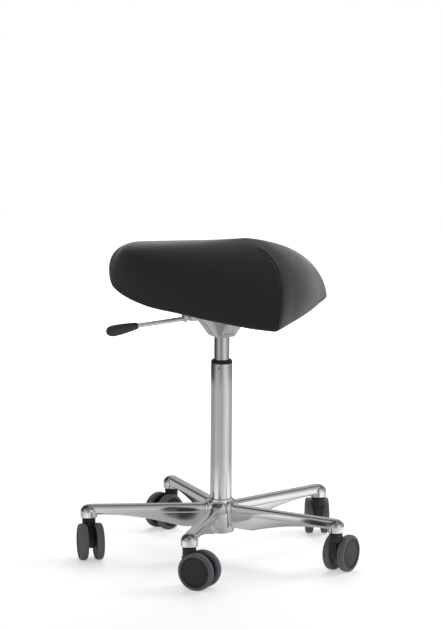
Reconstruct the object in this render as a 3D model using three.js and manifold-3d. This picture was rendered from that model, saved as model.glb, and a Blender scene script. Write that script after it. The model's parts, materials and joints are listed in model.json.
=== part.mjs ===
// Saddle stool on a five-arm castor base with a gas lift.
// Millimetres, +Z up. The saddle's narrow nose points along -Y and its wide rear along +Y.

import * as THREE from 'three';
import { mergeVertices } from 'three/addons/utils/BufferGeometryUtils.js';
import Module from 'manifold-3d';

const wasm = await Module();
wasm.setup();

// Clearances and facets
const fitGap = 0.3; // between pieces that touch
const runGap = 0.8; // between a wheel and the castor body beside it
const cutOverrun = 2; // how far a cutting solid passes the face that it opens
const mergeGap = 0.0001; // vertices closer than this are one vertex
const roundSides = 28;
const wheelSides = 20;
const socketSides = 16;
const smallSides = 12;
const holeSides = 8;
const bendSides = 3; // facets in a quarter turn of a small rounding

// Castors
const wheelR = 33;
const treadWidth = 13.5;
const treadDepth = 6;
const treadShoulder = 4;
const treadEdge = 3;
const castorBodyThick = 13.4; // between the two wheels
const castorHeadroom = 7; // between the wheels' tops and the base's sockets
const discEdge = 2;
const axleR = 3;
const axleEndCover = 4;
const castorTrail = 20; // from the swivel axis back to the axle
const neckR = 12;
const neckHeight = 16;
const castorNoseR = 10;
const axleBossR = 12;
const stemR = 5.5;
const stemReach = 19; // length of stem inside the socket
const stemFlangeR = 8;
const stemFlangeThick = 1.2;
const stemInNeck = 14;

// Base star
const armCount = 5;
const baseTurn = 2; // degrees from +X to the first arm
const socketCircleR = 237;
const socketR = 15;
const socketHeight = 23;
const domeHeight = 12;
const socketRoof = 3.5;
const armWidth = 19;
const armHeight = 16;
const armCorner = 5.5;
const armFlare = 8; // how much wider the arm is where it meets the hub
const armSteps = 6; // lengths that the arm's bar is drawn in, the flare in the first
const webThick = 7;
const webDeep = 26.6; // web below the arm at the hub
const webTipDeep = 2.5;
const webFlatR = 68; // inside this radius the web keeps its full depth
const webTipRun = 9; // length beside the socket where the web keeps its least depth
const webSides = 6; // facets along the web's curved lower edge
const hubWall = 4.5; // around the column
const hubDepth = 52;
const hubCollarWall = 2.5;
const hubCollarRise = 10;
const hubChamfer = 2;
const hubLipReach = 1.5; // lip under the column, inwards past the tube's wall
const hubLipHeight = 3;

// Column
const columnWall = 2;
const columnLength = 305;
const columnHoleR = 1.4;
const columnHoleDrop = 7; // below the top of the tube
const columnHoleTurn = 0; // degrees about Z
const endPlateThick = 4;
const bushWall = 2.9;
const bushCollarHeight = 6;
const bushCollarEdge = 1.5;
const bushLength = 58;

// Gas spring
const pistonShown = 42; // pressure tube between the bush and the bracket, at rest
const pressureR = 14;
const pressureWall = 1.5;
const pressureCap = 8;
const pressureTaper = 0.6;
const liftDown = 38; // travel left below the rest height
const liftUp = 150; // travel above the rest height
const rodR = 5;
const rodShoulder = 1; // how much the rod's two ends are thinner
const rodBearingR = 13;
const washerThick = 2;
const ballR = 2.5;
const ballCount = 10;
const ballSides = 6;
const bumperR = 10;
const bumperHeight = 20;
const clipThick = 1.4;
const clipR = 8;
const clipMouth = 5;
const gasPistonHeight = 12;
const rodGuideHeight = 14;
const releasePinR = 4;
const releasePinLength = 24;
const releasePinShown = 3.6; // above the pressure tube, below the lever

// Seat bracket
const bracketFootWall = 3; // around the taper bore
const bracketFootHeight = 9;
const bracketBore = 34; // depth of the taper bore
const bracketNeckR = 30;
const bracketCavityR = 21;
const bracketRise = 20.1; // from the lever's height to the bracket's top
const slotRoof = 4; // between the lever's slot and the plate
const wingCount = 4;
const wingTurn = 45; // degrees from +X to the first wing
const wingThick = 29;
const wingReach = 78;
const wingEdge = 1.5;
const wingBellyOut = 39; // where the wing's lower edge bends outwards
const wingBellyDrop = 24;
const wingSteps = 5;
const plateHalfX = 62;
const plateHalfY = 62;
const plateThick = 6;
const plateCorner = 14;
const screwInset = 13; // from the plate's edges to each screw
const screwR = 3;
const screwHeadR = 6;
const screwHeadHeight = 4;
const screwKeyR = 2.3;
const screwReach = 9; // length of screw inside the board

// Release lever
const leverTurn = -45; // degrees from +X to the lever
const leverDroop = 3; // degrees below the horizontal
const leverR = 4;
const leverLength = 232; // from the column's axis to the outer end of the grip
const leverTail = 6; // beyond the column's axis
const leverPivotOut = 30; // from the column's axis to the pivot pin
const leverSlotGap = 1.5; // on each side of the lever
const pivotPinR = 2;
const gripLength = 60;
const gripWall = 2; // around the rod at the grip's inner end
const gripHalfWidth = 13;
const gripHalfThick = 9.5;
const gripInset = 14; // closed end beyond the rod
const gripSwellShare = 0.8; // of the grip's length, before the end rounds off
const gripTipShare = 0.2; // of the full section, at the very end
const gripSteps = 10;
const gripSides = 10;

// Seat board and cover
const boardThick = 12;
const boardInset = 30; // from the cushion's outline
const boardFlatY = -60; // in front of this the board rises to the nose
const boardNoseRise = 24;
const coverThick = 1.8;
const coverInset = 7;

// Saddle cushion: plan
const noseY = -208.5;
const noseShoulderY = -126;
const noseHalf = 79.5;
const rearCornerY = 146;
const rearY = 156;
const rearHalf = 186;
const flankBulge = 9;
const noseBlunt = 36; // how far the nose's tip runs across before it turns back
const noseSweep = 42; // how far the flank's line runs on into the nose
// Saddle cushion: heights above the board's lower face
const rimDropRear = 13;
const rimDropMiddle = 10;
const rimRiseShoulder = 1;
const rimRiseNose = 42.5;
const rimMiddleY = 20;
const ridgeRear = 117;
const ridgeSeam = 112;
const ridgeMiddle = 108.5;
const ridgeFront = 100.5;
const ridgeRearY = 47;
const ridgeSeamY = 14; // where the seams of the two corners meet
const ridgeMiddleY = -60;
const ridgeFrontY = -154.5;
// Saddle cushion: how each profile leaves the rim and meets the ridge
const cornerRise = 71;
const cornerLean = 35;
const cornerTopOut = 10;
const cornerTopBack = 118;
const noseRise = 40;
const noseTopOut = 25;
const shoulderTopOut = 64.5;
const rearRise = 58;
const rearTopBack = 81.5;
const rimRoll = 7; // rounding where the cover turns under the rim
const flankEase = 1.5; // how late the flank's profile turns into the corner's
const noseSteps = 7;
const flankSteps = 10;
const rearSteps = 5;
const profileSteps = 13;

// Places worked out from the sizes
const degrees = Math.PI / 180;
const axleZ = wheelR * Math.cos(Math.PI / wheelSides);
const socketBottomZ = 2 * wheelR + castorHeadroom;
const armTopZ = socketBottomZ + socketHeight;
const armBottomZ = armTopZ - armHeight;
const hubBottomZ = armTopZ - hubDepth;
const hubTopZ = armTopZ + hubCollarRise;
const columnBoreR = pressureR + fitGap + bushWall + fitGap;
const columnR = columnBoreR + columnWall;
const columnBottomZ = hubBottomZ + hubLipHeight + fitGap;
const columnTopZ = columnBottomZ + columnLength;
const bushTopZ = columnTopZ + bushCollarHeight;
const bracketZ = bushTopZ + pistonShown;
const leverZ = bracketZ + bracketBore + releasePinShown + leverR; // on the column's axis
const bracketTopZ = leverZ + bracketRise;
const boardZ = bracketTopZ + fitGap;

// Materials
const finish = (color, roughness, metalness) =>
  new THREE.MeshStandardMaterial({ color, roughness, metalness });
const polishedAluminium = finish(0xd4d5d6, 0.14, 1);
const castAluminium = finish(0xc9cac9, 0.42, 0.9);
const chromedSteel = finish(0xc4c5c6, 0.1, 1);
const plainSteel = finish(0x8d8f92, 0.35, 1);
const blackPlastic = finish(0x2b2a2b, 0.5, 0);
const gripPlastic = finish(0x413f41, 0.6, 0);
const treadRubber = finish(0x55595c, 0.7, 0);
const blackRubber = finish(0x1e1e1f, 0.85, 0);
const saddleFabric = finish(0x34322f, 0.9, 0);
const birchBoard = finish(0xb08d61, 0.7, 0);
const liningFabric = finish(0x202021, 0.95, 0);

// Geometry helpers
function sealed(geometry) {
  geometry.deleteAttribute('normal');
  geometry.deleteAttribute('uv');
  const merged = mergeVertices(geometry, mergeGap);
  const from = merged.index.array;
  const kept = [];
  for (let i = 0; i < from.length; i += 3) {
    const [a, b, c] = [from[i], from[i + 1], from[i + 2]];
    if (a !== b && b !== c && c !== a) kept.push(a, b, c);
  }
  merged.setIndex(kept);
  return merged;
}

function solidOf(geometry) {
  const merged = sealed(geometry);
  return new wasm.Manifold(
    new wasm.Mesh({
      numProp: 3,
      vertProperties: new Float32Array(merged.attributes.position.array),
      triVerts: new Uint32Array(merged.index.array),
    }),
  );
}

function geometryOf(solid) {
  const mesh = solid.getMesh();
  const geometry = new THREE.BufferGeometry();
  geometry.setAttribute('position', new THREE.BufferAttribute(new Float32Array(mesh.vertProperties), 3));
  geometry.setIndex(new THREE.BufferAttribute(new Uint32Array(mesh.triVerts), 1));
  geometry.computeVertexNormals();
  return geometry;
}

// A solid of revolution about Z. The section's outline runs anticlockwise in the (r, z) plane,
// and a flat of the facets faces -Y.
function turned(outline, sides = roundSides) {
  const points = outline.map(([r, z]) => new THREE.Vector2(r, z));
  const lathe = new THREE.LatheGeometry(points, sides, -Math.PI / sides);
  return sealed(lathe.rotateX(Math.PI / 2));
}

function turnedRing(outline, sides = roundSides) {
  return turned([...outline, outline[0]], sides);
}

function rod(radius, low, high, sides = smallSides) {
  return turned([[0, low], [radius, low], [radius, high], [0, high]], sides);
}

function tube(inner, outer, low, high, sides = roundSides) {
  return turnedRing([[inner, low], [outer, low], [outer, high], [inner, high]], sides);
}

function extruded(shape, depth, options = {}) {
  const settings = { depth, bevelEnabled: false, curveSegments: bendSides, ...options };
  return new THREE.ExtrudeGeometry(shape, settings);
}

// An outline drawn in (out, z) and given a thickness across, standing upright along +X.
function upright(shape, thick, options = {}) {
  return extruded(shape, thick, options).translate(0, 0, -thick / 2).rotateX(Math.PI / 2);
}

function roundedRectangle(halfX, halfY, corner) {
  const shape = new THREE.Shape();
  shape.absarc(halfX - corner, halfY - corner, corner, 0, Math.PI / 2);
  shape.absarc(corner - halfX, halfY - corner, corner, Math.PI / 2, Math.PI);
  shape.absarc(corner - halfX, corner - halfY, corner, Math.PI, 1.5 * Math.PI);
  shape.absarc(halfX - corner, corner - halfY, corner, 1.5 * Math.PI, 2 * Math.PI);
  return shape;
}

function joined(geometries) {
  return geometries.map(solidOf).reduce((sum, piece) => sum.add(piece));
}

function cut(solid, cutters) {
  return cutters.map(solidOf).reduce((left, cutter) => left.subtract(cutter), solid);
}

function around(count, firstTurn, make) {
  return Array.from({ length: count }, (_, i) => {
    const turn = firstTurn * degrees + (i * 2 * Math.PI) / count;
    return make(i).rotateZ(turn);
  });
}

const stool = new THREE.Group();

function add(name, geometry, material, parent = stool) {
  const mesh = new THREE.Mesh(geometry, material);
  mesh.name = name;
  parent.add(mesh);
  return mesh;
}

// Base star: hub, five bars with a web under each, and a domed socket at each tip
function armBar() {
  const half = armWidth / 2;
  const section = new THREE.Shape();
  section.moveTo(-half, armBottomZ);
  section.lineTo(half, armBottomZ);
  section.absarc(half - armCorner, armTopZ - armCorner, armCorner, 0, Math.PI / 2);
  section.absarc(armCorner - half, armTopZ - armCorner, armCorner, Math.PI / 2, Math.PI);
  const barLength = socketCircleR - columnR;
  const flareEnd = columnR + barLength / armSteps;
  const bar = extruded(section, barLength, { steps: armSteps });
  bar.rotateX(Math.PI / 2).rotateZ(Math.PI / 2).translate(columnR, 0, 0);
  const place = bar.attributes.position;
  for (let i = 0; i < place.count; i += 1) {
    const wider = place.getX(i) < (columnR + flareEnd) / 2 ? armFlare / armWidth : 0;
    place.setY(i, place.getY(i) * (1 + wider));
  }
  return bar;
}

function armWeb() {
  const side = new THREE.Shape();
  const tipR = socketCircleR - webTipRun;
  const tipZ = armBottomZ - webTipDeep;
  side.moveTo(columnR, armBottomZ + armCorner);
  side.lineTo(columnR, armBottomZ - webDeep);
  side.lineTo(webFlatR, armBottomZ - webDeep);
  side.quadraticCurveTo((webFlatR + tipR) / 2, tipZ, tipR, tipZ);
  side.lineTo(socketCircleR, tipZ);
  side.lineTo(socketCircleR, armBottomZ + armCorner);
  return upright(side, webThick, { curveSegments: webSides });
}

function socketDome() {
  const outline = [[0, socketBottomZ], [socketR, socketBottomZ]];
  for (let i = 0; i <= bendSides; i += 1) {
    const a = (i / bendSides) * (Math.PI / 2);
    outline.push([socketR * Math.cos(a), armTopZ - domeHeight * (1 - Math.sin(a))]);
  }
  outline[outline.length - 1][0] = 0;
  return turned(outline, socketSides).translate(socketCircleR, 0, 0);
}

function socketBore() {
  const high = armTopZ - socketRoof;
  return rod(stemR + fitGap, socketBottomZ - cutOverrun, high).translate(socketCircleR, 0, 0);
}

function baseStar() {
  const hubR = columnR + hubWall;
  const hubCollarR = columnR + hubCollarWall;
  const hub = turned([
    [0, hubBottomZ],
    [hubR - hubChamfer, hubBottomZ],
    [hubR, hubBottomZ + hubChamfer],
    [hubR, armTopZ - hubChamfer],
    [hubCollarR, armTopZ + hubChamfer],
    [hubCollarR, hubTopZ - hubChamfer],
    [hubCollarR - hubChamfer / 2, hubTopZ],
    [0, hubTopZ],
  ]);
  const arms = [armBar, armWeb, socketDome].flatMap((piece) => around(armCount, baseTurn, piece));
  const seatZ = hubBottomZ + hubLipHeight;
  const columnSeat = rod(columnR + fitGap, seatZ, hubTopZ + cutOverrun, roundSides);
  const lipHole = rod(columnBoreR - hubLipReach, hubBottomZ - cutOverrun, hubTopZ, roundSides);
  const socketBores = around(armCount, baseTurn, socketBore);
  return geometryOf(cut(joined([hub, ...arms]), [columnSeat, lipHole, ...socketBores]));
}

add('base_star', baseStar(), polishedAluminium);

// Column: outer tube, its end plate, and the guide bush in its mouth
function columnTube() {
  const wall = tube(columnBoreR, columnR, columnBottomZ, columnTopZ);
  const hole = rod(columnHoleR, 0, columnR + cutOverrun, holeSides).rotateY(Math.PI / 2);
  hole.rotateZ(columnHoleTurn * degrees).translate(0, 0, columnTopZ - columnHoleDrop);
  return geometryOf(cut(solidOf(wall), [hole]));
}

const plateBottomZ = columnBottomZ;
const plateTopZ = plateBottomZ + endPlateThick;
const rodTipR = rodR - rodShoulder;

add('column_tube', columnTube(), chromedSteel);
add(
  'column_end_plate',
  tube(rodTipR + fitGap, columnBoreR - fitGap, plateBottomZ, plateTopZ),
  plainSteel,
);
add(
  'guide_bush',
  turnedRing([
    [pressureR + fitGap, columnTopZ - bushLength],
    [columnBoreR - fitGap, columnTopZ - bushLength],
    [columnBoreR - fitGap, columnTopZ + fitGap],
    [columnR, columnTopZ + fitGap],
    [columnR, bushTopZ - bushCollarEdge],
    [columnR - bushCollarEdge, bushTopZ],
    [pressureR + fitGap, bushTopZ],
  ]),
  blackPlastic,
);

// Thrust bearing under the gas spring's rod, from the end plate upwards
const lowerRaceZ = plateTopZ + fitGap;
const ballMiddleZ = lowerRaceZ + washerThick + fitGap + ballR;
const upperRaceZ = ballMiddleZ + ballR + fitGap;
const rodShoulderZ = upperRaceZ + washerThick + fitGap;
const bumperTopZ = rodShoulderZ + bumperHeight;
const washerBoreR = rodTipR + fitGap;

const bearingRace = (z) => tube(washerBoreR, rodBearingR, z, z + washerThick, smallSides);

function ballRing() {
  const pitchR = (washerBoreR + rodBearingR) / 2;
  const cage = bearingRace(ballMiddleZ - washerThick / 2);
  const balls = around(ballCount, 0, () => {
    const ball = new THREE.SphereGeometry(ballR, ballSides, ballSides - 2);
    return ball.rotateX(Math.PI / 2).translate(pitchR, 0, ballMiddleZ);
  });
  return geometryOf(joined([cage, ...balls]));
}

add('lower_bearing_race', bearingRace(lowerRaceZ), plainSteel);
add('thrust_bearing', ballRing(), plainSteel);
add('upper_bearing_race', bearingRace(upperRaceZ), plainSteel);
add('bump_stop', tube(rodR + fitGap, bumperR, rodShoulderZ, bumperTopZ, smallSides), blackRubber);

// Gas spring: rod and piston that stay in the column, pressure tube that rises with the seat
const pressureBottomZ = bumperTopZ + fitGap + liftDown;
const pressureTopZ = bracketZ + bracketBore - fitGap;
const pressureBoreR = pressureR - pressureWall;
const rodTopZ = pressureBottomZ + liftUp + rodGuideHeight + gasPistonHeight + fitGap;
const gasPistonZ = rodTopZ - gasPistonHeight;
const clipZ = plateBottomZ - fitGap - clipThick;

add(
  'piston_rod',
  turned([
    [0, clipZ - clipThick],
    [rodTipR, clipZ - clipThick],
    [rodTipR, rodShoulderZ],
    [rodR, rodShoulderZ],
    [rodR, gasPistonZ - fitGap],
    [rodTipR, gasPistonZ - fitGap],
    [rodTipR, rodTopZ],
    [0, rodTopZ],
  ], smallSides),
  chromedSteel,
);
const insideTube = (inner, low, high) => tube(inner, pressureBoreR - fitGap, low, high, smallSides);
add('gas_piston', insideTube(rodTipR + fitGap, gasPistonZ, rodTopZ), plainSteel);

function retainingClip() {
  const outline = new THREE.Shape();
  const half = Math.asin(clipMouth / 2 / clipR);
  const innerHalf = Math.asin(clipMouth / 2 / (rodTipR + fitGap));
  outline.absarc(0, 0, clipR, half, 2 * Math.PI - half);
  outline.absarc(0, 0, rodTipR + fitGap, 2 * Math.PI - innerHalf, innerHalf, true);
  return extruded(outline, clipThick, { curveSegments: smallSides }).translate(0, 0, clipZ);
}

add('retaining_clip', sealed(retainingClip()), plainSteel);

const capZ = pressureTopZ - pressureCap;
add(
  'pressure_tube',
  turnedRing([
    [pressureBoreR, pressureBottomZ],
    [pressureR, pressureBottomZ],
    [pressureR, bracketZ],
    [pressureR - pressureTaper, pressureTopZ],
    [releasePinR + fitGap, pressureTopZ],
    [releasePinR + fitGap, capZ],
    [pressureBoreR, capZ],
  ]),
  chromedSteel,
);
add(
  'rod_guide_seal',
  insideTube(rodR + fitGap, pressureBottomZ, pressureBottomZ + rodGuideHeight),
  blackPlastic,
);

const releaseTopZ = leverZ - leverR - fitGap;
add('release_pin', rod(releasePinR, releaseTopZ - releasePinLength, releaseTopZ), plainSteel);

// Seat bracket: cast foot with the taper bore, four wings, a screwed plate, a lever slot
const bracketFootR = pressureR + bracketFootWall;

function bracketWing() {
  const side = new THREE.Shape();
  const top = bracketTopZ - plateThick / 2;
  side.moveTo(0, bracketZ);
  side.lineTo(bracketFootR, bracketZ);
  side.bezierCurveTo(
    bracketNeckR, bracketZ + bracketFootHeight,
    wingBellyOut, bracketTopZ - wingBellyDrop,
    wingReach, bracketTopZ - plateThick,
  );
  side.lineTo(wingReach, top);
  side.lineTo(0, top);
  return upright(side, wingThick - 2 * wingEdge, {
    bevelEnabled: true,
    bevelSize: wingEdge,
    bevelThickness: wingEdge,
    bevelOffset: -wingEdge,
    bevelSegments: 1,
    curveSegments: wingSteps,
  });
}

const screwSpots = [[1, 1], [-1, 1], [-1, -1], [1, -1]].map(([x, y]) => [
  x * (plateHalfX - screwInset),
  y * (plateHalfY - screwInset),
]);

function leverFrame(geometry) {
  geometry.rotateY(leverDroop * degrees).rotateZ(leverTurn * degrees);
  return geometry.translate(0, 0, leverZ);
}

function seatBracket() {
  const plateZ = bracketTopZ - plateThick;
  const plateOutline = roundedRectangle(plateHalfX, plateHalfY, plateCorner);
  const plate = extruded(plateOutline, plateThick).translate(0, 0, plateZ);
  const foot = turned([
    [0, bracketZ],
    [bracketFootR, bracketZ],
    [bracketFootR + wingEdge, bracketZ + bracketFootHeight],
    [bracketNeckR, leverZ],
    [bracketNeckR, bracketTopZ - plateThick / 2],
    [0, bracketTopZ - plateThick / 2],
  ]);
  const wings = around(wingCount, wingTurn, bracketWing);
  const bore = turned([
    [0, bracketZ - cutOverrun],
    [pressureR + fitGap, bracketZ - cutOverrun],
    [pressureR + fitGap, bracketZ],
    [pressureR - pressureTaper + fitGap, bracketZ + bracketBore],
    [0, bracketZ + bracketBore],
  ]);
  const cavityZ = bracketZ + bracketBore - cutOverrun;
  const cavity = rod(bracketCavityR, cavityZ, bracketTopZ + cutOverrun, roundSides);
  const slotOut = wingReach + cutOverrun;
  const slotHigh = bracketTopZ - plateThick - slotRoof - cavityZ;
  const slot = new THREE.BoxGeometry(slotOut, 2 * (leverR + leverSlotGap), slotHigh);
  slot.translate(slotOut / 2, 0, cavityZ + slotHigh / 2).rotateZ(leverTurn * degrees);
  const pinHole = rod(pivotPinR + fitGap, -wingThick, wingThick, holeSides).rotateX(Math.PI / 2);
  leverFrame(pinHole.translate(leverPivotOut, 0, 0));
  const screwHoles = screwSpots.map(([x, y]) =>
    rod(screwR + fitGap, plateZ - screwHeadHeight, bracketTopZ + cutOverrun).translate(x, y, 0),
  );
  const headPockets = screwSpots.map(([x, y]) =>
    rod(screwHeadR + fitGap, bracketZ, plateZ).translate(x, y, 0),
  );
  const body = joined([plate, foot, ...wings]);
  return geometryOf(cut(body, [bore, cavity, slot, pinHole, ...screwHoles, ...headPockets]));
}

add('seat_bracket', seatBracket(), castAluminium);

function bracketScrew() {
  const headTopZ = bracketTopZ - plateThick - fitGap;
  const shank = rod(screwR, headTopZ - screwHeadHeight / 2, boardZ + screwReach);
  const head = rod(screwHeadR, headTopZ - screwHeadHeight, headTopZ);
  const keyTopZ = headTopZ - screwHeadHeight / 2;
  const keyway = rod(screwKeyR, headTopZ - screwHeadHeight - cutOverrun, keyTopZ, 6);
  return geometryOf(cut(joined([shank, head]), [keyway]));
}

screwSpots.forEach(([x, y], i) => {
  add(`bracket_screw_${i + 1}`, bracketScrew().translate(x, y, 0), plainSteel);
});

// Release lever: a round rod on a cross pin, with a moulded grip
function leverRod() {
  const bar = rod(leverR, -leverTail, leverLength - gripInset).rotateY(Math.PI / 2);
  const pinHole = rod(pivotPinR + fitGap, -2 * leverR, 2 * leverR, holeSides).rotateX(Math.PI / 2);
  return leverFrame(geometryOf(cut(solidOf(bar), [pinHole.translate(leverPivotOut, 0, 0)])));
}

function leverGrip() {
  const start = leverLength - gripLength;
  const neckR = leverR + gripWall;
  const rings = [];
  for (let i = 0; i <= gripSteps; i += 1) {
    const s = i / gripSteps;
    const swell = Math.sin((Math.PI / 2) * Math.min(1, s / gripSwellShare));
    const tip = Math.max(0, s - gripSwellShare) / (1 - gripSwellShare);
    const rounding = Math.max(gripTipShare, Math.sqrt(1 - tip * tip));
    rings.push({
      out: start + gripLength * s,
      across: (neckR + (gripHalfWidth - neckR) * swell) * rounding,
      deep: (neckR + (gripHalfThick - neckR) * swell) * rounding,
      drop: (gripHalfThick - neckR) * s,
    });
  }
  const boreEnd = leverLength - gripInset + fitGap;
  const bore = rod(leverR + fitGap, start - cutOverrun, boreEnd).rotateY(Math.PI / 2);
  return leverFrame(geometryOf(cut(solidOf(loft(rings, gripSides)), [bore])));
}

// Elliptical rings along X joined into one closed skin
function loft(rings, sides) {
  const points = [];
  for (const ring of rings) {
    for (let j = 0; j < sides; j += 1) {
      const a = (j / sides) * 2 * Math.PI;
      points.push(ring.out, ring.across * Math.cos(a), ring.deep * Math.sin(a) - ring.drop);
    }
  }
  const last = rings.length - 1;
  const first = points.length / 3;
  points.push(rings[0].out, 0, -rings[0].drop, rings[last].out, 0, -rings[last].drop);
  const faces = [];
  for (let j = 0; j < sides; j += 1) {
    const next = (j + 1) % sides;
    faces.push(first, next, j);
    faces.push(first + 1, last * sides + j, last * sides + next);
    for (let i = 0; i < last; i += 1) {
      const a = i * sides + j;
      const b = i * sides + next;
      faces.push(a, b, b + sides, a, b + sides, a + sides);
    }
  }
  return meshFrom(points, faces);
}

function meshFrom(points, faces) {
  const geometry = new THREE.BufferGeometry();
  geometry.setAttribute('position', new THREE.BufferAttribute(new Float32Array(points), 3));
  geometry.setIndex(faces);
  return geometry;
}

add('lever_rod', leverRod(), chromedSteel);
add('lever_grip', leverGrip(), gripPlastic);
const pinHalf = wingThick / 2 - wingEdge;
const pivotPin = rod(pivotPinR, -pinHalf, pinHalf, holeSides).rotateX(Math.PI / 2);
add('lever_pivot_pin', leverFrame(pivotPin.translate(leverPivotOut, 0, 0)), plainSteel);

// Saddle: half of its plan outline, from the tip of the nose to the middle of the rear
function along(table, y) {
  for (let i = 1; i < table.length; i += 1) {
    const [y0, z0] = table[i - 1];
    const [y1, z1] = table[i];
    if (y <= y1 || i === table.length - 1) {
      const s = Math.min(1, Math.max(0, (y - y0) / (y1 - y0)));
      return z0 + (z1 - z0) * s;
    }
  }
  return table[0][1];
}

const rimTable = [
  [noseY, rimRiseNose],
  [noseY + (noseShoulderY - noseY) / 6, (rimRiseNose + rimRiseShoulder) / 2],
  [noseShoulderY, rimRiseShoulder],
  [(noseShoulderY + rimMiddleY) / 2, (rimRiseShoulder - rimDropMiddle) / 2],
  [rimMiddleY, -rimDropMiddle],
  [rearCornerY, -rimDropRear],
];
const ridgeTable = [
  [ridgeFrontY, ridgeFront],
  [ridgeMiddleY, ridgeMiddle],
  [ridgeSeamY, ridgeSeam],
  [ridgeRearY, ridgeRear],
];

// The nose's plan runs from its tip into the line of the flank
const flankStart = new THREE.Vector2(
  rearHalf - noseHalf + 4 * flankBulge,
  rearCornerY - noseShoulderY,
).setLength(noseSweep);
const nosePlan = new THREE.CubicBezierCurve(
  new THREE.Vector2(0, noseY),
  new THREE.Vector2(noseBlunt, noseY),
  new THREE.Vector2(noseHalf, noseShoulderY).sub(flankStart),
  new THREE.Vector2(noseHalf, noseShoulderY),
);

// Each profile: where it starts on the rim, where it meets the ridge, and its two handles
function saddleProfiles() {
  const profiles = [];
  for (let i = 0; i <= noseSteps; i += 1) {
    const s = i / noseSteps;
    const { x, y } = nosePlan.getPoint(s);
    const topOut = noseTopOut + (shoulderTopOut - noseTopOut) * s;
    const ridge = new THREE.Vector3(0, ridgeFrontY, ridgeFront);
    const rim = new THREE.Vector3(x, y, along(rimTable, y));
    const away = new THREE.Vector3(Math.sin(s * Math.PI / 2), -Math.cos(s * Math.PI / 2), 0);
    const low = rim.clone().add(new THREE.Vector3(0, 0, noseRise)).addScaledVector(away, rimRoll / 2);
    const high = ridge.clone().addScaledVector(away, topOut);
    profiles.push({ rim, low, high, ridge });
  }
  for (let i = 1; i <= flankSteps; i += 1) {
    const s = i / flankSteps;
    const k = s ** flankEase;
    const y = noseShoulderY + (rearCornerY - noseShoulderY) * s;
    const x = noseHalf + (rearHalf - noseHalf) * s + flankBulge * 4 * s * (1 - s);
    const ridgeY = ridgeFrontY + (ridgeSeamY - ridgeFrontY) * s;
    const ridge = new THREE.Vector3(0, ridgeY, along(ridgeTable, ridgeY));
    const rim = new THREE.Vector3(x, y, along(rimTable, y));
    const lean = cornerLean * k - (rimRoll / 2) * (1 - k);
    const low = rim.clone().add(new THREE.Vector3(-lean, 0, noseRise + (cornerRise - noseRise) * k));
    const topOut = shoulderTopOut + (cornerTopOut - shoulderTopOut) * k;
    const high = ridge.clone().add(new THREE.Vector3(topOut, cornerTopBack * k, 0));
    profiles.push({ rim, low, high, ridge });
  }
  for (let i = 1; i <= rearSteps; i += 1) {
    const s = i / rearSteps;
    const late = 1 - (1 - s) ** 2;
    const y = rearCornerY + (rearY - rearCornerY) * late;
    const ridgeY = ridgeSeamY + (ridgeRearY - ridgeSeamY) * late;
    const ridge = new THREE.Vector3(0, ridgeY, along(ridgeTable, ridgeY));
    const rim = new THREE.Vector3(rearHalf * (1 - s), y, -rimDropRear);
    const rise = cornerRise + (rearRise - cornerRise) * s;
    const low = rim.clone().add(new THREE.Vector3(-cornerLean * (1 - s), 0, rise));
    const back = cornerTopBack + (rearTopBack - cornerTopBack) * s;
    const high = ridge.clone().add(new THREE.Vector3(cornerTopOut * (1 - s), back, 0));
    profiles.push({ rim, low, high, ridge });
  }
  return profiles;
}

const halfProfiles = saddleProfiles();

// The board's lower face: flat over the bracket and rising to the nose
function boardLift(y) {
  const reach = boardFlatY - (noseY + boardInset);
  return boardNoseRise * (Math.max(0, boardFlatY - y) / reach) ** 2;
}

// A point of the outline moved inwards, square to the outline
function insetPoint(index, inset) {
  const last = halfProfiles.length - 1;
  const here = halfProfiles[index].rim;
  const before = halfProfiles[Math.max(0, index - 1)].rim;
  const after = halfProfiles[Math.min(last, index + 1)].rim;
  if (index === 0) return new THREE.Vector2(0, here.y + inset);
  if (index === last) return new THREE.Vector2(0, here.y - inset);
  const run = new THREE.Vector2(after.x - before.x, after.y - before.y).normalize();
  const x = Math.max(0, here.x - inset * run.y);
  return new THREE.Vector2(x, here.y + inset * run.x);
}

function insetRing(inset, height) {
  return halfProfiles.map((_, i) => {
    const p = insetPoint(i, inset);
    return new THREE.Vector3(p.x, p.y, height(p.y, i));
  });
}

// Rows of points from the nose to the rear make one half; the other half is its mirror.
// The rows that close the skin are strips right across.
function mirroredSkin(rows, closeFirst, closeLast) {
  const points = [];
  const faces = [];
  const quad = (a, b, c, d) => {
    const base = points.length / 3;
    for (const p of [a, b, c, d]) points.push(p.x, p.y, p.z);
    faces.push(base, base + 1, base + 2, base, base + 2, base + 3);
  };
  const mirror = (p) => new THREE.Vector3(-p.x, p.y, p.z);
  const count = rows[0].length;
  for (let r = 0; r + 1 < rows.length; r += 1) {
    for (let i = 0; i + 1 < count; i += 1) {
      const [a, b, c, d] = [rows[r][i], rows[r][i + 1], rows[r + 1][i + 1], rows[r + 1][i]];
      quad(a, b, c, d);
      quad(mirror(d), mirror(c), mirror(b), mirror(a));
    }
  }
  const across = (row, up) => {
    for (let i = 0; i + 1 < count; i += 1) {
      const [a, b] = [row[i], row[i + 1]];
      if (up) quad(mirror(a), a, b, mirror(b));
      else quad(a, mirror(a), mirror(b), b);
    }
  };
  if (closeFirst) across(rows[0], false);
  if (closeLast) across(rows[rows.length - 1], true);
  return sealed(meshFrom(points, faces));
}

function bezierPoint({ rim, low, high, ridge }, t) {
  const u = 1 - t;
  return new THREE.Vector3()
    .addScaledVector(rim, u * u * u)
    .addScaledVector(low, 3 * u * u * t)
    .addScaledVector(high, 3 * u * t * t)
    .addScaledVector(ridge, t * t * t);
}

const boardGroup = new THREE.Group();
boardGroup.position.z = boardZ;
stool.add(boardGroup);

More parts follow.
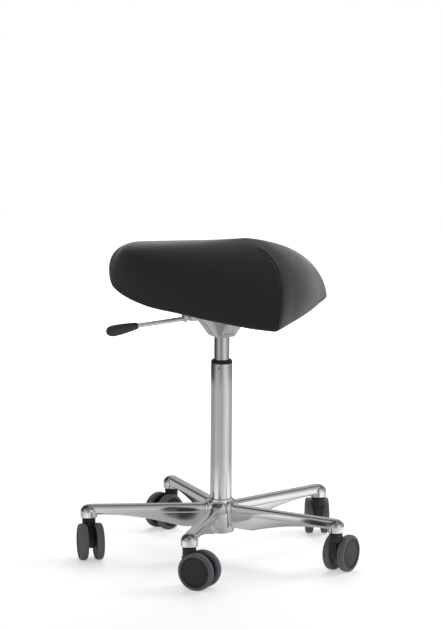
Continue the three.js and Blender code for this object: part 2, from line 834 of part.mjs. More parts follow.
function saddleCushion() {
  const recess = (y) => boardLift(y) + boardThick + fitGap;
  const rows = [
    insetRing(boardInset, recess),
    insetRing(boardInset - fitGap, (y, i) => Math.min(recess(y), halfProfiles[i].rim.z + rimRoll)),
    insetRing(rimRoll, (y, i) => halfProfiles[i].rim.z - rimRoll / 4),
  ];
  for (let j = 0; j <= profileSteps; j += 1) {
    const t = j / profileSteps;
    rows.push(halfProfiles.map((profile) => bezierPoint(profile, t)));
  }
  return mirroredSkin(rows, true, false);
}

function plateUnderSaddle(inset, low, thick) {
  const face = (z) => insetRing(inset, (y) => boardLift(y) + z);
  return mirroredSkin([face(low), face(low + thick)], true, true);
}

function seatBoard() {
  const holes = screwSpots.map(([x, y]) =>
    rod(screwR + fitGap, -cutOverrun, screwReach + fitGap).translate(x, y, 0),
  );
  const board = plateUnderSaddle(boardInset + fitGap, 0, boardThick);
  return geometryOf(cut(solidOf(board), holes));
}

function undersideCover() {
  const skin = plateUnderSaddle(boardInset + coverInset, -fitGap - coverThick, coverThick);
  const opening = roundedRectangle(plateHalfX + fitGap, plateHalfY + fitGap, plateCorner);
  const hole = extruded(opening, coverThick + 2 * cutOverrun);
  hole.translate(0, 0, -fitGap - coverThick - cutOverrun);
  return geometryOf(cut(solidOf(skin), [hole]));
}

add('seat_cushion', saddleCushion(), saddleFabric, boardGroup);
add('seat_board', seatBoard(), birchBoard, boardGroup);
add('underside_cover', undersideCover(), liningFabric, boardGroup);

// Castors: each swivels on its stem and has two wheels on one axle
const castorNames = ['a', 'b', 'c', 'd', 'e'];
const castorTurns = [79, 164, 198, 333, 27]; // degrees from +X to the way each castor trails

const discR = wheelR - treadDepth - fitGap;
const bodyHalf = castorBodyThick / 2;
const wheelSpacing = castorBodyThick + 2 * runGap + treadWidth; // between the wheels' middles
const neckTopZ = socketBottomZ - stemFlangeThick - 2 * fitGap;
const discFace = treadWidth / 2 - discEdge / 2; // from the middle of a wheel to its face
const axleHalf = wheelSpacing / 2 + discFace - axleEndCover;

function castorBody() {
  const side = new THREE.Shape();
  side.moveTo(-neckR, neckTopZ - neckHeight / 2);
  side.lineTo(-neckR, axleZ);
  side.absarc(castorNoseR - neckR, axleZ, castorNoseR, Math.PI, 1.5 * Math.PI);
  side.absarc(castorTrail, axleZ, axleBossR, 1.5 * Math.PI, 2.25 * Math.PI);
  side.lineTo(neckR, neckTopZ - neckHeight / 2);
  const cheek = upright(side, 2 * bodyHalf);
  const neck = rod(neckR, neckTopZ - neckHeight, neckTopZ, socketSides);
  const stemBore = rod(stemR + fitGap, neckTopZ - stemInNeck - fitGap, neckTopZ + cutOverrun);
  const axleBore = rod(axleR + fitGap, -2 * neckR, 2 * neckR).rotateX(Math.PI / 2);
  axleBore.translate(castorTrail, 0, axleZ);
  const wells = [0, Math.PI].map((turn) => {
    const well = rod(wheelR + runGap, bodyHalf, 2 * neckR, wheelSides).rotateX(Math.PI / 2);
    return well.rotateX(turn).translate(castorTrail, 0, axleZ);
  });
  return geometryOf(cut(joined([cheek, neck]), [stemBore, axleBore, ...wells]));
}

function castorStem() {
  const flangeZ = neckTopZ + fitGap;
  return turned([
    [0, neckTopZ - stemInNeck],
    [stemR, neckTopZ - stemInNeck],
    [stemR, flangeZ],
    [stemFlangeR, flangeZ],
    [stemFlangeR, flangeZ + stemFlangeThick],
    [stemR, flangeZ + stemFlangeThick],
    [stemR, socketBottomZ + stemReach - discEdge],
    [stemR - discEdge, socketBottomZ + stemReach],
    [0, socketBottomZ + stemReach],
  ], smallSides);
}

// Wheel pieces are turned about Z with the outer face up, then laid on the axle
function wheelDisc() {
  return turned([
    [0, discFace - axleEndCover + fitGap],
    [axleR + fitGap, discFace - axleEndCover + fitGap],
    [axleR + fitGap, -discFace],
    [discR, -discFace],
    [discR, discFace - discEdge],
    [discR - discEdge, discFace],
    [0, discFace],
  ], wheelSides);
}

function wheelTread() {
  const half = treadWidth / 2;
  const inner = wheelR - treadDepth;
  return turnedRing([
    [inner, -half],
    [wheelR - treadEdge, -half],
    [wheelR, -half + treadShoulder],
    [wheelR, half - treadShoulder],
    [wheelR - treadEdge, half],
    [inner, half],
  ], wheelSides);
}

castorNames.forEach((name, i) => {
  const armAngle = baseTurn * degrees + (i * 2 * Math.PI) / armCount;
  const castor = new THREE.Group();
  castor.position.set(socketCircleR * Math.cos(armAngle), socketCircleR * Math.sin(armAngle), 0);
  castor.rotation.z = castorTurns[i] * degrees;
  stool.add(castor);
  add(`castor_body_${name}`, castorBody(), blackPlastic, castor);
  add(`castor_stem_${name}`, castorStem(), plainSteel, castor);
  const axle = rod(axleR, -axleHalf, axleHalf).rotateX(Math.PI / 2);
  add(`castor_axle_${name}`, axle.translate(castorTrail, 0, axleZ), plainSteel, castor);
  for (const [side, way] of [['left', 1], ['right', -1]]) {
    const wheel = new THREE.Group();
    wheel.position.set(castorTrail, (way * wheelSpacing) / 2, axleZ);
    wheel.rotation.set(-way * (Math.PI / 2), 0, 0);
    castor.add(wheel);
    add(`wheel_disc_${name}_${side}`, wheelDisc(), blackPlastic, wheel);
    add(`wheel_tread_${name}_${side}`, wheelTread(), treadRubber, wheel);
  }
});

// The origin is under the middle of the whole stool, on the floor
const bounds = new THREE.Box3().setFromObject(stool, true);
const middle = bounds.getCenter(new THREE.Vector3());
stool.position.set(-middle.x, -middle.y, -bounds.min.z);

export default stool;
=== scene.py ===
import json
from math import atan2, cos, pi, radians, sin, sqrt, tanh

import bmesh
import bpy
from mathutils import Matrix, Vector
from mathutils.bvhtree import BVHTree
from mathutils.kdtree import KDTree


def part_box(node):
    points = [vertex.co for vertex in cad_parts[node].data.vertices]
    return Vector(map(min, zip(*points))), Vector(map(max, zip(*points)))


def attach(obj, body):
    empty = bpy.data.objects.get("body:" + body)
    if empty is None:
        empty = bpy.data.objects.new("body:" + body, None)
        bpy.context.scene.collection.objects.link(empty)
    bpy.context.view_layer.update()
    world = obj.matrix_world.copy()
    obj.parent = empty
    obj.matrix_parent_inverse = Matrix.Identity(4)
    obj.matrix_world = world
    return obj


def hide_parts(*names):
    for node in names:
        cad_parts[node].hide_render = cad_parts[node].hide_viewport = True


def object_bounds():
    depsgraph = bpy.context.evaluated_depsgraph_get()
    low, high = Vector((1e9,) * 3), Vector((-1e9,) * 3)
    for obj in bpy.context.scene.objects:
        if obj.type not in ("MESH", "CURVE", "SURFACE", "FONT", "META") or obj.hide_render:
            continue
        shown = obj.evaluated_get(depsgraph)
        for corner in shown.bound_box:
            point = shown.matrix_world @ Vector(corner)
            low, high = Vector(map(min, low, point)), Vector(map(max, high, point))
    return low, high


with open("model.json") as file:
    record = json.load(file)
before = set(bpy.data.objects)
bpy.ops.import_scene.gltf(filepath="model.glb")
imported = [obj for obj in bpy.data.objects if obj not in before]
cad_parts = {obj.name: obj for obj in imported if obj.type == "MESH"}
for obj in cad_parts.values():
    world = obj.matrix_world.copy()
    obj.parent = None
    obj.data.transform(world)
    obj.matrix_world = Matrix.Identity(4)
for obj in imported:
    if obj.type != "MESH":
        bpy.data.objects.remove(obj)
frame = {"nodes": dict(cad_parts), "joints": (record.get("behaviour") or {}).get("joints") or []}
cad_low, cad_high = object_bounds()

# Studio: the stool stands on a white sweep, seen by a long lens from a little above its side.
# Wide soft lamps stand on the right and behind the stool, and a weaker one fills in from the
# left. The room beyond the sweep is dark, which draws the lines in the chrome.
mm = 0.001
scene = bpy.context.scene
scene.view_settings.view_transform = "Standard"

tube_low, tube_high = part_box("column_tube")
column = Vector(((tube_low.x + tube_high.x) / 2, (tube_low.y + tube_high.y) / 2, 0))

eye_turn = radians(15.1)  # from +X round to the camera, seen from above
eye_pitch = radians(9.91)
eye_roll = radians(0.4)
eye_distance = 5760 * mm
aim_height = 438.1 * mm
aim_aside = -1.06 * mm
film_width = 36.0
lens_length = 185.14

ahead = Vector((-cos(eye_pitch) * cos(eye_turn), -cos(eye_pitch) * sin(eye_turn), -sin(eye_pitch)))
level_right = Vector((-sin(eye_turn), cos(eye_turn), 0))
level_up = level_right.cross(ahead)
eye_right = level_right * cos(eye_roll) + level_up * sin(eye_roll)
eye_up = level_up * cos(eye_roll) - level_right * sin(eye_roll)
eye_aim = column + level_right * aim_aside + Vector((0, 0, aim_height))

bpy.ops.object.select_all(action="DESELECT")
bpy.ops.object.camera_add()
camera = bpy.context.object
camera.name = "camera"
camera.data.lens = lens_length
camera.data.sensor_width = film_width
camera.data.clip_end = 100
camera.matrix_world = Matrix.Translation(eye_aim - ahead * eye_distance) @ Matrix(
    (eye_right, eye_up, -ahead)
).transposed().to_4x4()
scene.camera = camera


class Wire:
    """A value in a node tree: sums and products of it add Math nodes."""

    def __init__(self, nodes, socket):
        self.nodes = nodes
        self.socket = socket

    def math(self, operation, first, second):
        return self.nodes.add("ShaderNodeMath", {"operation": operation}, {0: first, 1: second})

    def __add__(self, other):
        return self.math("ADD", self, other)

    def __sub__(self, other):
        return self.math("SUBTRACT", self, other)

    def __rsub__(self, other):
        return self.math("SUBTRACT", other, self)

    def __mul__(self, other):
        return self.math("MULTIPLY", self, other)

    def __truediv__(self, other):
        return self.math("DIVIDE", self, other)

    def __pow__(self, other):
        return self.math("POWER", self, other)

    __radd__ = __add__
    __rmul__ = __mul__


class Nodes:
    """A node tree, with one way to add a node to it."""

    def __init__(self, tree):
        self.tree = tree
        self.tree.nodes.clear()

    def add(self, kind, settings=None, values=None, output=0):
        made = self.tree.nodes.new(kind)
        for name, value in (settings or {}).items():
            if name == "stops":
                self.set_stops(made.color_ramp, value)
            else:
                setattr(made, name, value)
        for name, value in (values or {}).items():
            if isinstance(value, Wire):
                self.tree.links.new(value.socket, made.inputs[name])
            else:
                made.inputs[name].default_value = value
        return Wire(self, made.outputs[output] if made.outputs else None)

    def math_of(self, operation, value):
        return self.add("ShaderNodeMath", {"operation": operation}, {0: value})

    def set_stops(self, ramp, stops):
        while len(ramp.elements) > 1:
            ramp.elements.remove(ramp.elements[-1])
        for i, (place, level) in enumerate(stops):
            stop = ramp.elements[0] if i == 0 else ramp.elements.new(place)
            stop.position = place
            stop.color = level if isinstance(level, tuple) else (level, level, level, 1)

    def ramp(self, value, stops):
        return self.add("ShaderNodeValToRGB", {"stops": stops}, {"Fac": value})


def tone(red, green, blue):
    """A colour as it is seen on a screen, 0 to 255, as the light that a shader takes."""
    return tuple((c / 255) ** 2.2 for c in (red, green, blue)) + (1.0,)


room_light = 0.36  # what the walls give to everything that isn't a mirror
floor_reach = 1650 * mm  # how much of the floor shows in the chrome
# What a mirror on the stool sees, by the turn round the column from -180 to 180 degrees: the floor close by, the floor
# further out, and the dim walls beyond it. The floor's levels are a painted reflection: the floor glows with them in
# the chrome, and they paint its light and shade there.
near_floor = [
    (0.0, 0.55), (0.15, 0.5), (0.25, 0.5), (0.32, 0.7), (0.405, 1.05), (0.46, 0.75), (0.53, 0.62),
    (0.58, 0.66), (0.64, 0.8), (0.7, 0.95), (0.76, 1.12), (0.8, 1.15), (0.86, 0.85), (0.93, 0.6), (1.0, 0.55),
]
far_floor = [
    (0.0, 0.6), (0.14, 0.5), (0.24, 0.39), (0.29, 0.36), (0.33, 0.46), (0.37, 0.54), (0.5, 0.5), (0.56, 0.46),
    (0.6, 0.58), (0.65, 0.75), (0.717, 0.88), (0.755, 0.77), (0.795, 0.6), (0.842, 0.46), (0.9, 0.46), (1.0, 0.6),
]
wall_lights = [
    (0.0, 0.55), (0.083, 0.3), (0.139, 0.1), (0.264, 0.065), (0.33, 0.21), (0.367, 0.41), (0.4, 0.47),
    (0.467, 0.39), (0.528, 0.24), (0.558, 0.36), (0.619, 0.63), (0.65, 0.75), (0.683, 0.77), (0.717, 0.6),
    (0.755, 0.5), (0.794, 0.34), (0.903, 0.29), (1.0, 0.55),
]
ceiling_fade = [(0.0, 0.9), (0.48, 1.0), (0.75, 1.0), (0.82, 0.45), (0.92, 0.4), (1.0, 0.5)]
# Painted shadow: the floor seen in the chrome darkens close to the column, where the base shades it.
painted_floor_shadow = [(0.18, 0.55), (0.3, 0.72), (0.42, 1.0), (1.0, 1.0)]


def turn_of(nodes, parts):
    """The turn round the column as a share from 0 to 1."""
    return nodes.add("ShaderNodeMath", {"operation": "ARCTAN2"}, {0: parts[1], 1: parts[0]}) / (2 * pi) + 0.5


def parts_of(nodes, vector, count=3):
    return [nodes.add("ShaderNodeSeparateXYZ", None, {0: vector}, output=i) for i in range(count)]


def light_room():
    scene.world = bpy.data.worlds.new("room")
    scene.world.use_nodes = True
    nodes = Nodes(scene.world.node_tree)
    parts = parts_of(nodes, nodes.add("ShaderNodeTexCoord", output=0))
    mirrored = nodes.ramp(turn_of(nodes, parts), wall_lights) * nodes.ramp(parts[2] * 0.5 + 0.5, ceiling_fade)
    for_camera = nodes.add("ShaderNodeLightPath", output=0)
    for_mirror = nodes.add("ShaderNodeLightPath", output=3)
    level = for_mirror * mirrored + (1 - for_mirror) * room_light
    shown = for_camera + (1 - for_camera) * level
    back = nodes.add("ShaderNodeBackground", None, {"Color": (1, 1, 1, 1), "Strength": shown})
    nodes.add("ShaderNodeOutputWorld", None, {"Surface": back})


def add_lamp(name, turn, rise, distance, width, power):
    """A square soft lamp, turned round from the camera and raised above the floor, in degrees."""
    around = eye_turn + radians(turn)
    way = Vector((cos(around) * cos(radians(rise)), sin(around) * cos(radians(rise)), sin(radians(rise))))
    bpy.ops.object.select_all(action="DESELECT")
    bpy.ops.object.light_add(type="AREA")
    lamp = bpy.context.object
    lamp.name = name
    lamp.data.shape = "SQUARE"
    lamp.data.size = width
    lamp.data.energy = power
    lamp.location = column + Vector((0, 0, cad_high.z / 2)) + way * distance
    lamp.rotation_mode = "QUATERNION"
    lamp.rotation_quaternion = way.to_track_quat("Z", "Y")
    lamp.visible_glossy = False  # the chrome mirrors the room and the floor alone


light_room()
add_lamp("key_lamp", 112, 30, 2.6, 1.2, 24)
add_lamp("fill_lamp", -65, 25, 3.2, 1.8, 6)
add_lamp("back_lamp", 178, 34, 2.8, 2.0, 44)


def floor_paint():
    """White to the eye, whiter with distance so that no edge shows, and glowing in the chrome with painted light and
    shade.
    """
    material = bpy.data.materials.new("floor_sweep")
    material.use_nodes = True
    nodes = Nodes(material.node_tree)
    parts = parts_of(nodes, nodes.add("ShaderNodeTexCoord", output=3), 2)
    distance = (parts[0] * parts[0] + parts[1] * parts[1]) ** 0.5
    turn = turn_of(nodes, parts)
    for_camera = nodes.add("ShaderNodeLightPath", output=0)
    for_mirror = nodes.add("ShaderNodeLightPath", output=3)
    lift = nodes.ramp(distance * 0.4, [(0.0, 0.46), (0.3, 0.5), (0.7, 1.0)])
    lit = nodes.add("ShaderNodeBsdfDiffuse", None, {"Color": (0.78, 0.78, 0.78, 1)})
    glow = nodes.add("ShaderNodeEmission", None, {"Color": (1, 1, 1, 1), "Strength": for_camera * lift})
    seen = nodes.add("ShaderNodeAddShader", None, {0: lit, 1: glow})
    spread = nodes.ramp(distance, [(0.55, 0.0), (0.8, 1.0)])
    near = nodes.ramp(turn, near_floor) * nodes.ramp(distance, painted_floor_shadow)
    level = near * (1 - spread) + nodes.ramp(turn, far_floor) * spread
    # Painted reflection: in the chrome the floor glows with the painted levels above, in place of being lit.
    mirrored = nodes.add("ShaderNodeEmission", None, {"Color": (1, 1, 1, 1), "Strength": level})
    clear = nodes.add("ShaderNodeBsdfTransparent")
    beyond = nodes.add("ShaderNodeMath", {"operation": "GREATER_THAN"}, {0: distance, 1: floor_reach})
    reflected = nodes.add("ShaderNodeMixShader", None, {0: beyond, 1: mirrored, 2: clear})
    surface = nodes.add("ShaderNodeMixShader", None, {0: for_mirror, 1: seen, 2: reflected})
    nodes.add("ShaderNodeOutputMaterial", None, {"Surface": surface})
    return material


bpy.ops.object.select_all(action="DESELECT")
bpy.ops.mesh.primitive_circle_add(vertices=96, radius=4.0, fill_type="NGON")
floor = bpy.context.object
floor.name = "floor"
floor.data.materials.append(floor_paint())

# Base star: one aluminium die casting, ground and mirror polished. The hub takes the column,
# five bars run out from it with a thin web below each, and each bar ends in a domed socket.
hub_low, hub_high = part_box("base_star")
hub_bottom = hub_low.z
hub_top = hub_high.z
column_radius = (tube_high.x - tube_low.x) / 2
column_seat = column_radius + 0.3 * mm
hub_radius = column_radius + 4.5 * mm
collar_radius = column_radius + 2.5 * mm
lip_radius = 16 * mm
lip_height = 3 * mm
arm_top = hub_top - 10 * mm
arm_bottom = arm_top - 16 * mm
arm_half = 9.5 * mm
arm_shoulder = 8 * mm  # depth of the bar's middle below its crown
arm_flare = 5 * mm  # radius of the fillet where a bar meets the hub
socket_circle = 237 * mm
socket_radius = 15 * mm
socket_bottom = arm_top - 23 * mm
dome_height = 12.5 * mm
stem_hole = 5.8 * mm
web_half = 3.5 * mm
web_depth = 26.6 * mm
web_flat = 68 * mm
web_tip = 228 * mm
web_tip_depth = 2.5 * mm
first_arm = radians(2)
arm_count = 5


class Finish(Nodes):
    """A material for one of the stool's finishes, worked out on the piece's own coordinates."""

    def __init__(self, name, colour, roughness, metallic=0.0, **even):
        self.material = bpy.data.materials.new(name)
        self.material.use_nodes = True
        super().__init__(self.material.node_tree)
        values = {"Base Color": colour, "Roughness": roughness, "Metallic": metallic, **even}
        shader = self.add("ShaderNodeBsdfPrincipled", None, values)
        self.shader = shader.socket.node
        self.add("ShaderNodeOutputMaterial", None, {"Surface": shader})
        self.place = self.add("ShaderNodeTexCoord", output=3)

    def feed(self, name, value):
        self.tree.links.new(value.socket, self.shader.inputs[name])

    def noise(self, size, detail=2.0, stretch=(1, 1, 1)):
        """Cloudy values from 0 to 1, of that size in metres, finer or coarser along each axis."""
        spread = self.add("ShaderNodeMapping", None, {"Vector": self.place, "Scale": stretch})
        values = {"Vector": spread, "Scale": 1 / size, "Detail": detail}
        return self.add("ShaderNodeTexNoise", None, values)

    def vary_colour(self, value, dark, light):
        values = {"Factor": value, "A": dark, "B": light}
        mixed = self.add("ShaderNodeMix", {"data_type": "RGBA"}, None, output=2)
        node = mixed.socket.node
        self.tree.links.new(value.socket, node.inputs[0])
        node.inputs[6].default_value = values["A"]
        node.inputs[7].default_value = values["B"]
        self.feed("Base Color", mixed)
        return mixed

    def emboss(self, height, depth, strength=1.0):
        """Raises the surface by a height from 0 to 1 times a depth in metres."""
        values = {"Height": height, "Distance": depth, "Strength": strength}
        self.feed("Normal", self.add("ShaderNodeBump", None, values))


def polished_metal(name, light, roughness, grain_size, grain_depth, stretch, metallic=1.0):
    """A bright metal: long faint polishing marks, and handling haze that changes its gloss."""
    finish = Finish(name, tone(light, light, light + 1), roughness, metallic)
    haze = finish.noise(38 * mm, 3.0)
    marks = finish.noise(grain_size, 2.0, stretch)
    finish.feed("Roughness", haze * roughness + marks * (0.3 * roughness) + 0.4 * roughness)
    finish.vary_colour(haze, tone(light - 8, light - 8, light - 6), tone(light + 4, light + 4, light + 4))
    finish.emboss(marks, grain_depth, 0.5)
    return finish.material


def deselect():
    if bpy.context.mode != "OBJECT":
        bpy.ops.object.mode_set(mode="OBJECT")
    bpy.ops.object.select_all(action="DESELECT")


def pick(piece):
    deselect()
    piece.select_set(True)
    bpy.context.view_layer.objects.active = piece


def tidy_skin(piece):
    """Merges what lies together and turns every face outwards."""
    pick(piece)
    bpy.ops.object.mode_set(mode="EDIT")
    bpy.ops.mesh.select_all(action="SELECT")
    bpy.ops.mesh.remove_doubles(threshold=0.002 * mm)
    bpy.ops.mesh.normals_make_consistent(inside=False)
    bpy.ops.object.mode_set(mode="OBJECT")


def smooth(piece, angle=35):
    pick(piece)
    bpy.ops.object.shade_smooth_by_angle(angle=radians(angle))
    return piece


def turned(name, outline, sides=96):
    """Spins an outline of (radius, height) points about the column's axis."""
    deselect()
    first = Vector((outline[0][0], 0, outline[0][1]))
    bpy.ops.mesh.primitive_plane_add(size=mm, location=first)
    piece = bpy.context.object
    piece.name = name
    bpy.ops.object.transform_apply(location=True)
    bpy.ops.object.mode_set(mode="EDIT")
    bpy.ops.mesh.merge(type="CENTER")
    for (r0, z0), (r1, z1) in zip(outline, outline[1:]):
        bpy.ops.mesh.extrude_vertices_move(TRANSFORM_OT_translate={"value": (r1 - r0, 0, z1 - z0)})
    bpy.ops.mesh.select_all(action="SELECT")
    bpy.ops.mesh.spin(steps=sides, angle=2 * pi, center=(0, 0, 0), axis=(0, 0, 1))
    tidy_skin(piece)
    return piece


def turned_ring(name, outline, sides=96):
    return turned(name, [*outline, outline[0]], sides)


def moved(piece, matrix):
    piece.data.transform(matrix)
    piece.data.update()
    return piece


def rounded_corners(outline, radius, steps=4):
    """An open outline with each inner corner rounded by that radius, or less on short sides."""
    points = [Vector(p) for p in outline]
    done = [tuple(points[0])]
    for before, here, after in zip(points, points[1:], points[2:]):
        back, on = before - here, after - here
        turn = back.angle(on, pi)
        if turn > radians(170):
            done.append(tuple(here))
            continue
        reach = min(radius / max(sin(turn / 2) / cos(turn / 2), 0.01), back.length * 0.45, on.length * 0.45)
        start, end = here + back.normalized() * reach, here + on.normalized() * reach
        for i in range(steps + 1):
            s = i / steps
            done.append(tuple(start * (1 - s) ** 2 + here * (2 * s * (1 - s)) + end * s**2))
    return [*done, tuple(points[-1])]


def skin(name, rows):
    """Lays a grid over rows of points. Rows that close on themselves or on a point are merged later, by tidy_skin."""
    deselect()
    across, along = len(rows[0]), len(rows)
    bpy.ops.mesh.primitive_grid_add(x_subdivisions=across - 1, y_subdivisions=along - 1)
    piece = bpy.context.object
    piece.name = name
    piece.data.vertices.foreach_set("co", [c for row in rows for p in row for c in p])
    piece.data.update()
    return piece


def combine(piece, others, operation):
    """Joins other solids to a piece, or cuts them out of it, and removes them."""
    for other in others:
        pick(piece)
        modifier = piece.modifiers.new(operation.lower(), "BOOLEAN")
        modifier.operation = operation
        modifier.solver = "EXACT"
        modifier.object = other
        bpy.ops.object.modifier_apply(modifier=modifier.name)
        bpy.data.objects.remove(other)
    return piece


def dress(piece, body, slot, material, *nodes):
    """Gives a finished piece its material, its body and the CAD nodes that it stands for."""
    piece.data.materials.clear()
    piece.data.materials.append(material)
    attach(piece, body)
    if nodes:
        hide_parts(*nodes)
    return piece


def fillet_out(distance, radius):
    """How far a fillet of that radius stands out, at a distance from the wall it leaves."""
    if distance >= radius:
        return 0.0
    left = radius - max(0.0, distance)
    return radius - sqrt(radius**2 - left**2)


def arm_section(out, sides=36):
    """The bar's section at a distance from the column: flat sides, soft shoulders, a flat crown."""
    wider = fillet_out(out - hub_radius, arm_flare)
    half = arm_half + wider
    top = arm_top + 0.6 * fillet_out(out - hub_radius, 2 * arm_flare)
    middle = arm_top - arm_shoulder
    ring = []
    for i in range(sides + 1):
        a = 2 * pi * i / sides - pi / 2
        side, up = round(cos(a), 9), sin(a)
        y = half * abs(side) ** (0.42 if up >= 0 else 0.2) * (1 if side >= 0 else -1)
        z = middle + (top - middle) * up**0.5 if up >= 0 else middle - (middle - arm_bottom) * abs(up) ** 0.24
        ring.append((out, y, z))
    return ring


def capped(rows):
    """Rows with each end closed on its middle."""
    ends = []
    for row in (rows[0], rows[-1]):
        middle = sum((Vector(p) for p in row[:-1]), Vector()) / (len(row) - 1)
        ends.append([tuple(middle)] * len(row))
    return [ends[0], *rows, ends[1]]


def bar_stations():
    root = [hub_radius + d * mm for d in (-3, 0, 0.6, 1.4, 2.4, 3.6, 5, 6.5, 8.5, 11)]
    count = 22
    return root + [root[-1] + (socket_circle - root[-1]) * i / count for i in range(1, count + 1)]


def web_stations():
    first, last = hub_radius - 2.2 * mm, socket_circle - 4 * mm
    root = [first, *[hub_radius + d * mm for d in (0, 0.8, 1.8, 3, 5, 9)]]
    count = 30
    return root + [root[-1] + (last - root[-1]) * i / count for i in range(1, count + 1)]


def web_section(out, sides=20):
    """The web's section: it keeps its depth near the hub, and sweeps up to the bar further out."""
    left = 1 - min(1, max(0, (out - web_flat) / (web_tip - web_flat)))
    deep = web_tip_depth + (web_depth - web_tip_depth) * left**2
    half = web_half + fillet_out(out - hub_radius, 3 * mm)
    low, high = arm_bottom - deep, arm_bottom + 4 * mm
    ring = []
    for i in range(sides + 1):
        a = 2 * pi * i / sides - pi / 2
        y = half * abs(round(cos(a), 9)) ** 0.25 * (1 if cos(a) >= 0 else -1)
        z = (low + high) / 2 + (high - low) / 2 * abs(sin(a)) ** 0.25 * (1 if sin(a) >= 0 else -1)
        ring.append((out, y * (1 - 0.15 * (high - z) / (high - low)), z))
    return ring


def dome_outline():
    outline = [(0, socket_bottom), (socket_radius - 0.8 * mm, socket_bottom)]
    outline.append((socket_radius, socket_bottom + 0.8 * mm))
    steps = 14
    for i in range(steps + 1):
        a = pi / 2 * i / steps
        outline.append((socket_radius * cos(a), arm_top - dome_height * (1 - sin(a))))
    outline[-1] = (0, arm_top)
    return outline


def make_base_star():
    hub = turned_ring("base_star_polished", rounded_corners([
        (column_seat, hub_bottom + lip_height),
        (lip_radius, hub_bottom + lip_height),
        (lip_radius, hub_bottom),
        (hub_radius - 1.5 * mm, hub_bottom),
        (hub_radius, hub_bottom + 1.5 * mm),
        (hub_radius, hub_bottom + 12 * mm),
        (hub_radius, hub_bottom + 24 * mm),
        (hub_radius, arm_bottom),
        (hub_radius, arm_bottom + 5 * mm),
        (hub_radius, arm_bottom + 10 * mm),
        (hub_radius, arm_top - 1 * mm),
        (collar_radius + 0.6 * mm, arm_top + 3 * mm),
        (collar_radius, arm_top + 6 * mm),
        (collar_radius, hub_top),
        (column_seat, hub_top),
        (column_seat, arm_bottom),
    ], 1.2 * mm))
    parts, holes = [], []
    for i in range(arm_count):
        turn = Matrix.Rotation(first_arm + 2 * pi * i / arm_count, 4, "Z")
        bar = skin("bar", capped([arm_section(out) for out in bar_stations()]))
        web = skin("web", capped([web_section(out) for out in web_stations()]))
        dome = moved(turned("dome", dome_outline(), 64), Matrix.Translation((socket_circle, 0, 0)))
        for part in (bar, web, dome):
            tidy_skin(part)
            parts.append(moved(part, turn))
        hole = turned("hole", [(0, socket_bottom - 5 * mm), (stem_hole, socket_bottom - 5 * mm),
                               (stem_hole, arm_top - 3.5 * mm), (0, arm_top - 3.5 * mm)], 32)
        holes.append(moved(hole, turn @ Matrix.Translation((socket_circle, 0, 0))))
    combine(hub, parts, "UNION")
    combine(hub, holes, "DIFFERENCE")
    moved(hub, Matrix.Translation(column))
    return smooth(hub, 30)


polished_aluminium = polished_metal("polished_aluminium", 234, 0.1, 3 * mm, 0.02 * mm, (1, 1, 1))
dress(make_base_star(), "base", "polished_aluminium", polished_aluminium, "base_star")

# Column: a chromed steel tube pressed into the hub, with a small vent hole near its mouth,
# and a zinc plated end plate at its foot that carries the gas spring's bearing.
chrome = polished_metal("chrome", 226, 0.07, 1.2 * mm, 0.01 * mm, (1, 1, 0.05))
plain_steel = polished_metal("plain_steel", 178, 0.32, 0.6 * mm, 0.02 * mm, (1, 1, 0.3))
tube_wall = 2 * mm
vent_radius = 1.4 * mm
vent_drop = 7 * mm


def make_column_tube():
    inner, edge = column_radius - tube_wall, 0.5 * mm
    count = 12
    side = [(column_radius, tube_low.z + edge + (tube_high.z - tube_low.z - 2 * edge) * i / count)
            for i in range(count + 1)]
    tube = turned_ring("column_tube_chromed", [
        (inner, tube_low.z), (column_radius - edge, tube_low.z), *side,
        (column_radius - edge, tube_high.z), (inner, tube_high.z),
    ], 128)
    vent = turned("vent", [(0, 0), (vent_radius, 0), (vent_radius, column_radius * 2), (0, column_radius * 2)], 24)
    moved(vent, Matrix.Translation((0, 0, tube_high.z - vent_drop)) @ Matrix.Rotation(pi / 2, 4, "Y"))
    combine(tube, [vent], "DIFFERENCE")
    return smooth(moved(tube, Matrix.Translation(column)), 30)


dress(make_column_tube(), "base", "chrome", chrome, "column_tube")


def coat(material, *nodes):
    """Gives CAD nodes that stay in view their finish."""
    for node in nodes:
        frame["nodes"][node].material_slots[0].material = material


coat(plain_steel, "column_end_plate", "lower_bearing_race", "thrust_bearing", "upper_bearing_race",
     "gas_piston", "retaining_clip")

# Guide bush: a black moulded sleeve in the tube's mouth. Only its slightly conical collar
# shows, between the column and the gas spring's pressure tube.
bush_low, bush_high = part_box("guide_bush")
pressure_low, pressure_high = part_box("pressure_tube")
pressure_radius = (pressure_high.x - pressure_low.x) / 2


def moulded_plastic(name, dark, light, roughness, grain=0.35 * mm):
    """Nylon with the fine spark texture of its mould, a little shinier where it is rubbed."""
    finish = Finish(name, light, roughness)
    texture = finish.noise(grain, 1.0)
    worn = finish.noise(16 * mm, 2.0)
    finish.vary_colour(worn * 0.7 + texture * 0.3, dark, light)
    finish.feed("Roughness", worn * 0.14 + texture * 0.1 + (roughness - 0.12))
    finish.emboss(texture, 0.05 * mm, 0.4)
    return finish.material


black_plastic = moulded_plastic("black_plastic", tone(37, 36, 37), tone(52, 51, 52), 0.44)


def make_guide_bush():
    inner = pressure_radius + 0.25 * mm
    sleeve = column_radius - tube_wall - 0.25 * mm
    outline = [
        (inner, bush_low.z), (sleeve, bush_low.z), (sleeve, tube_high.z + 0.3 * mm),
        (column_radius, tube_high.z + 0.3 * mm), (column_radius, tube_high.z + 1.6 * mm),
        (column_radius - 1.6 * mm, bush_high.z), (inner + 0.6 * mm, bush_high.z),
        (inner, bush_high.z - 0.8 * mm), (inner, bush_low.z),
    ]
    return smooth(moved(turned("guide_bush_moulded", rounded_corners(outline, 0.6 * mm)), Matrix.Translation(column)))


dress(make_guide_bush(), "base", "black_plastic", black_plastic, "guide_bush")

# Gas spring: the rod stands in the column on its bearing, and the chromed pressure tube
# rises and falls over it with the seat. A pin in its top opens the valve.
coat(chrome, "piston_rod")
coat(black_plastic, "rod_guide_seal")


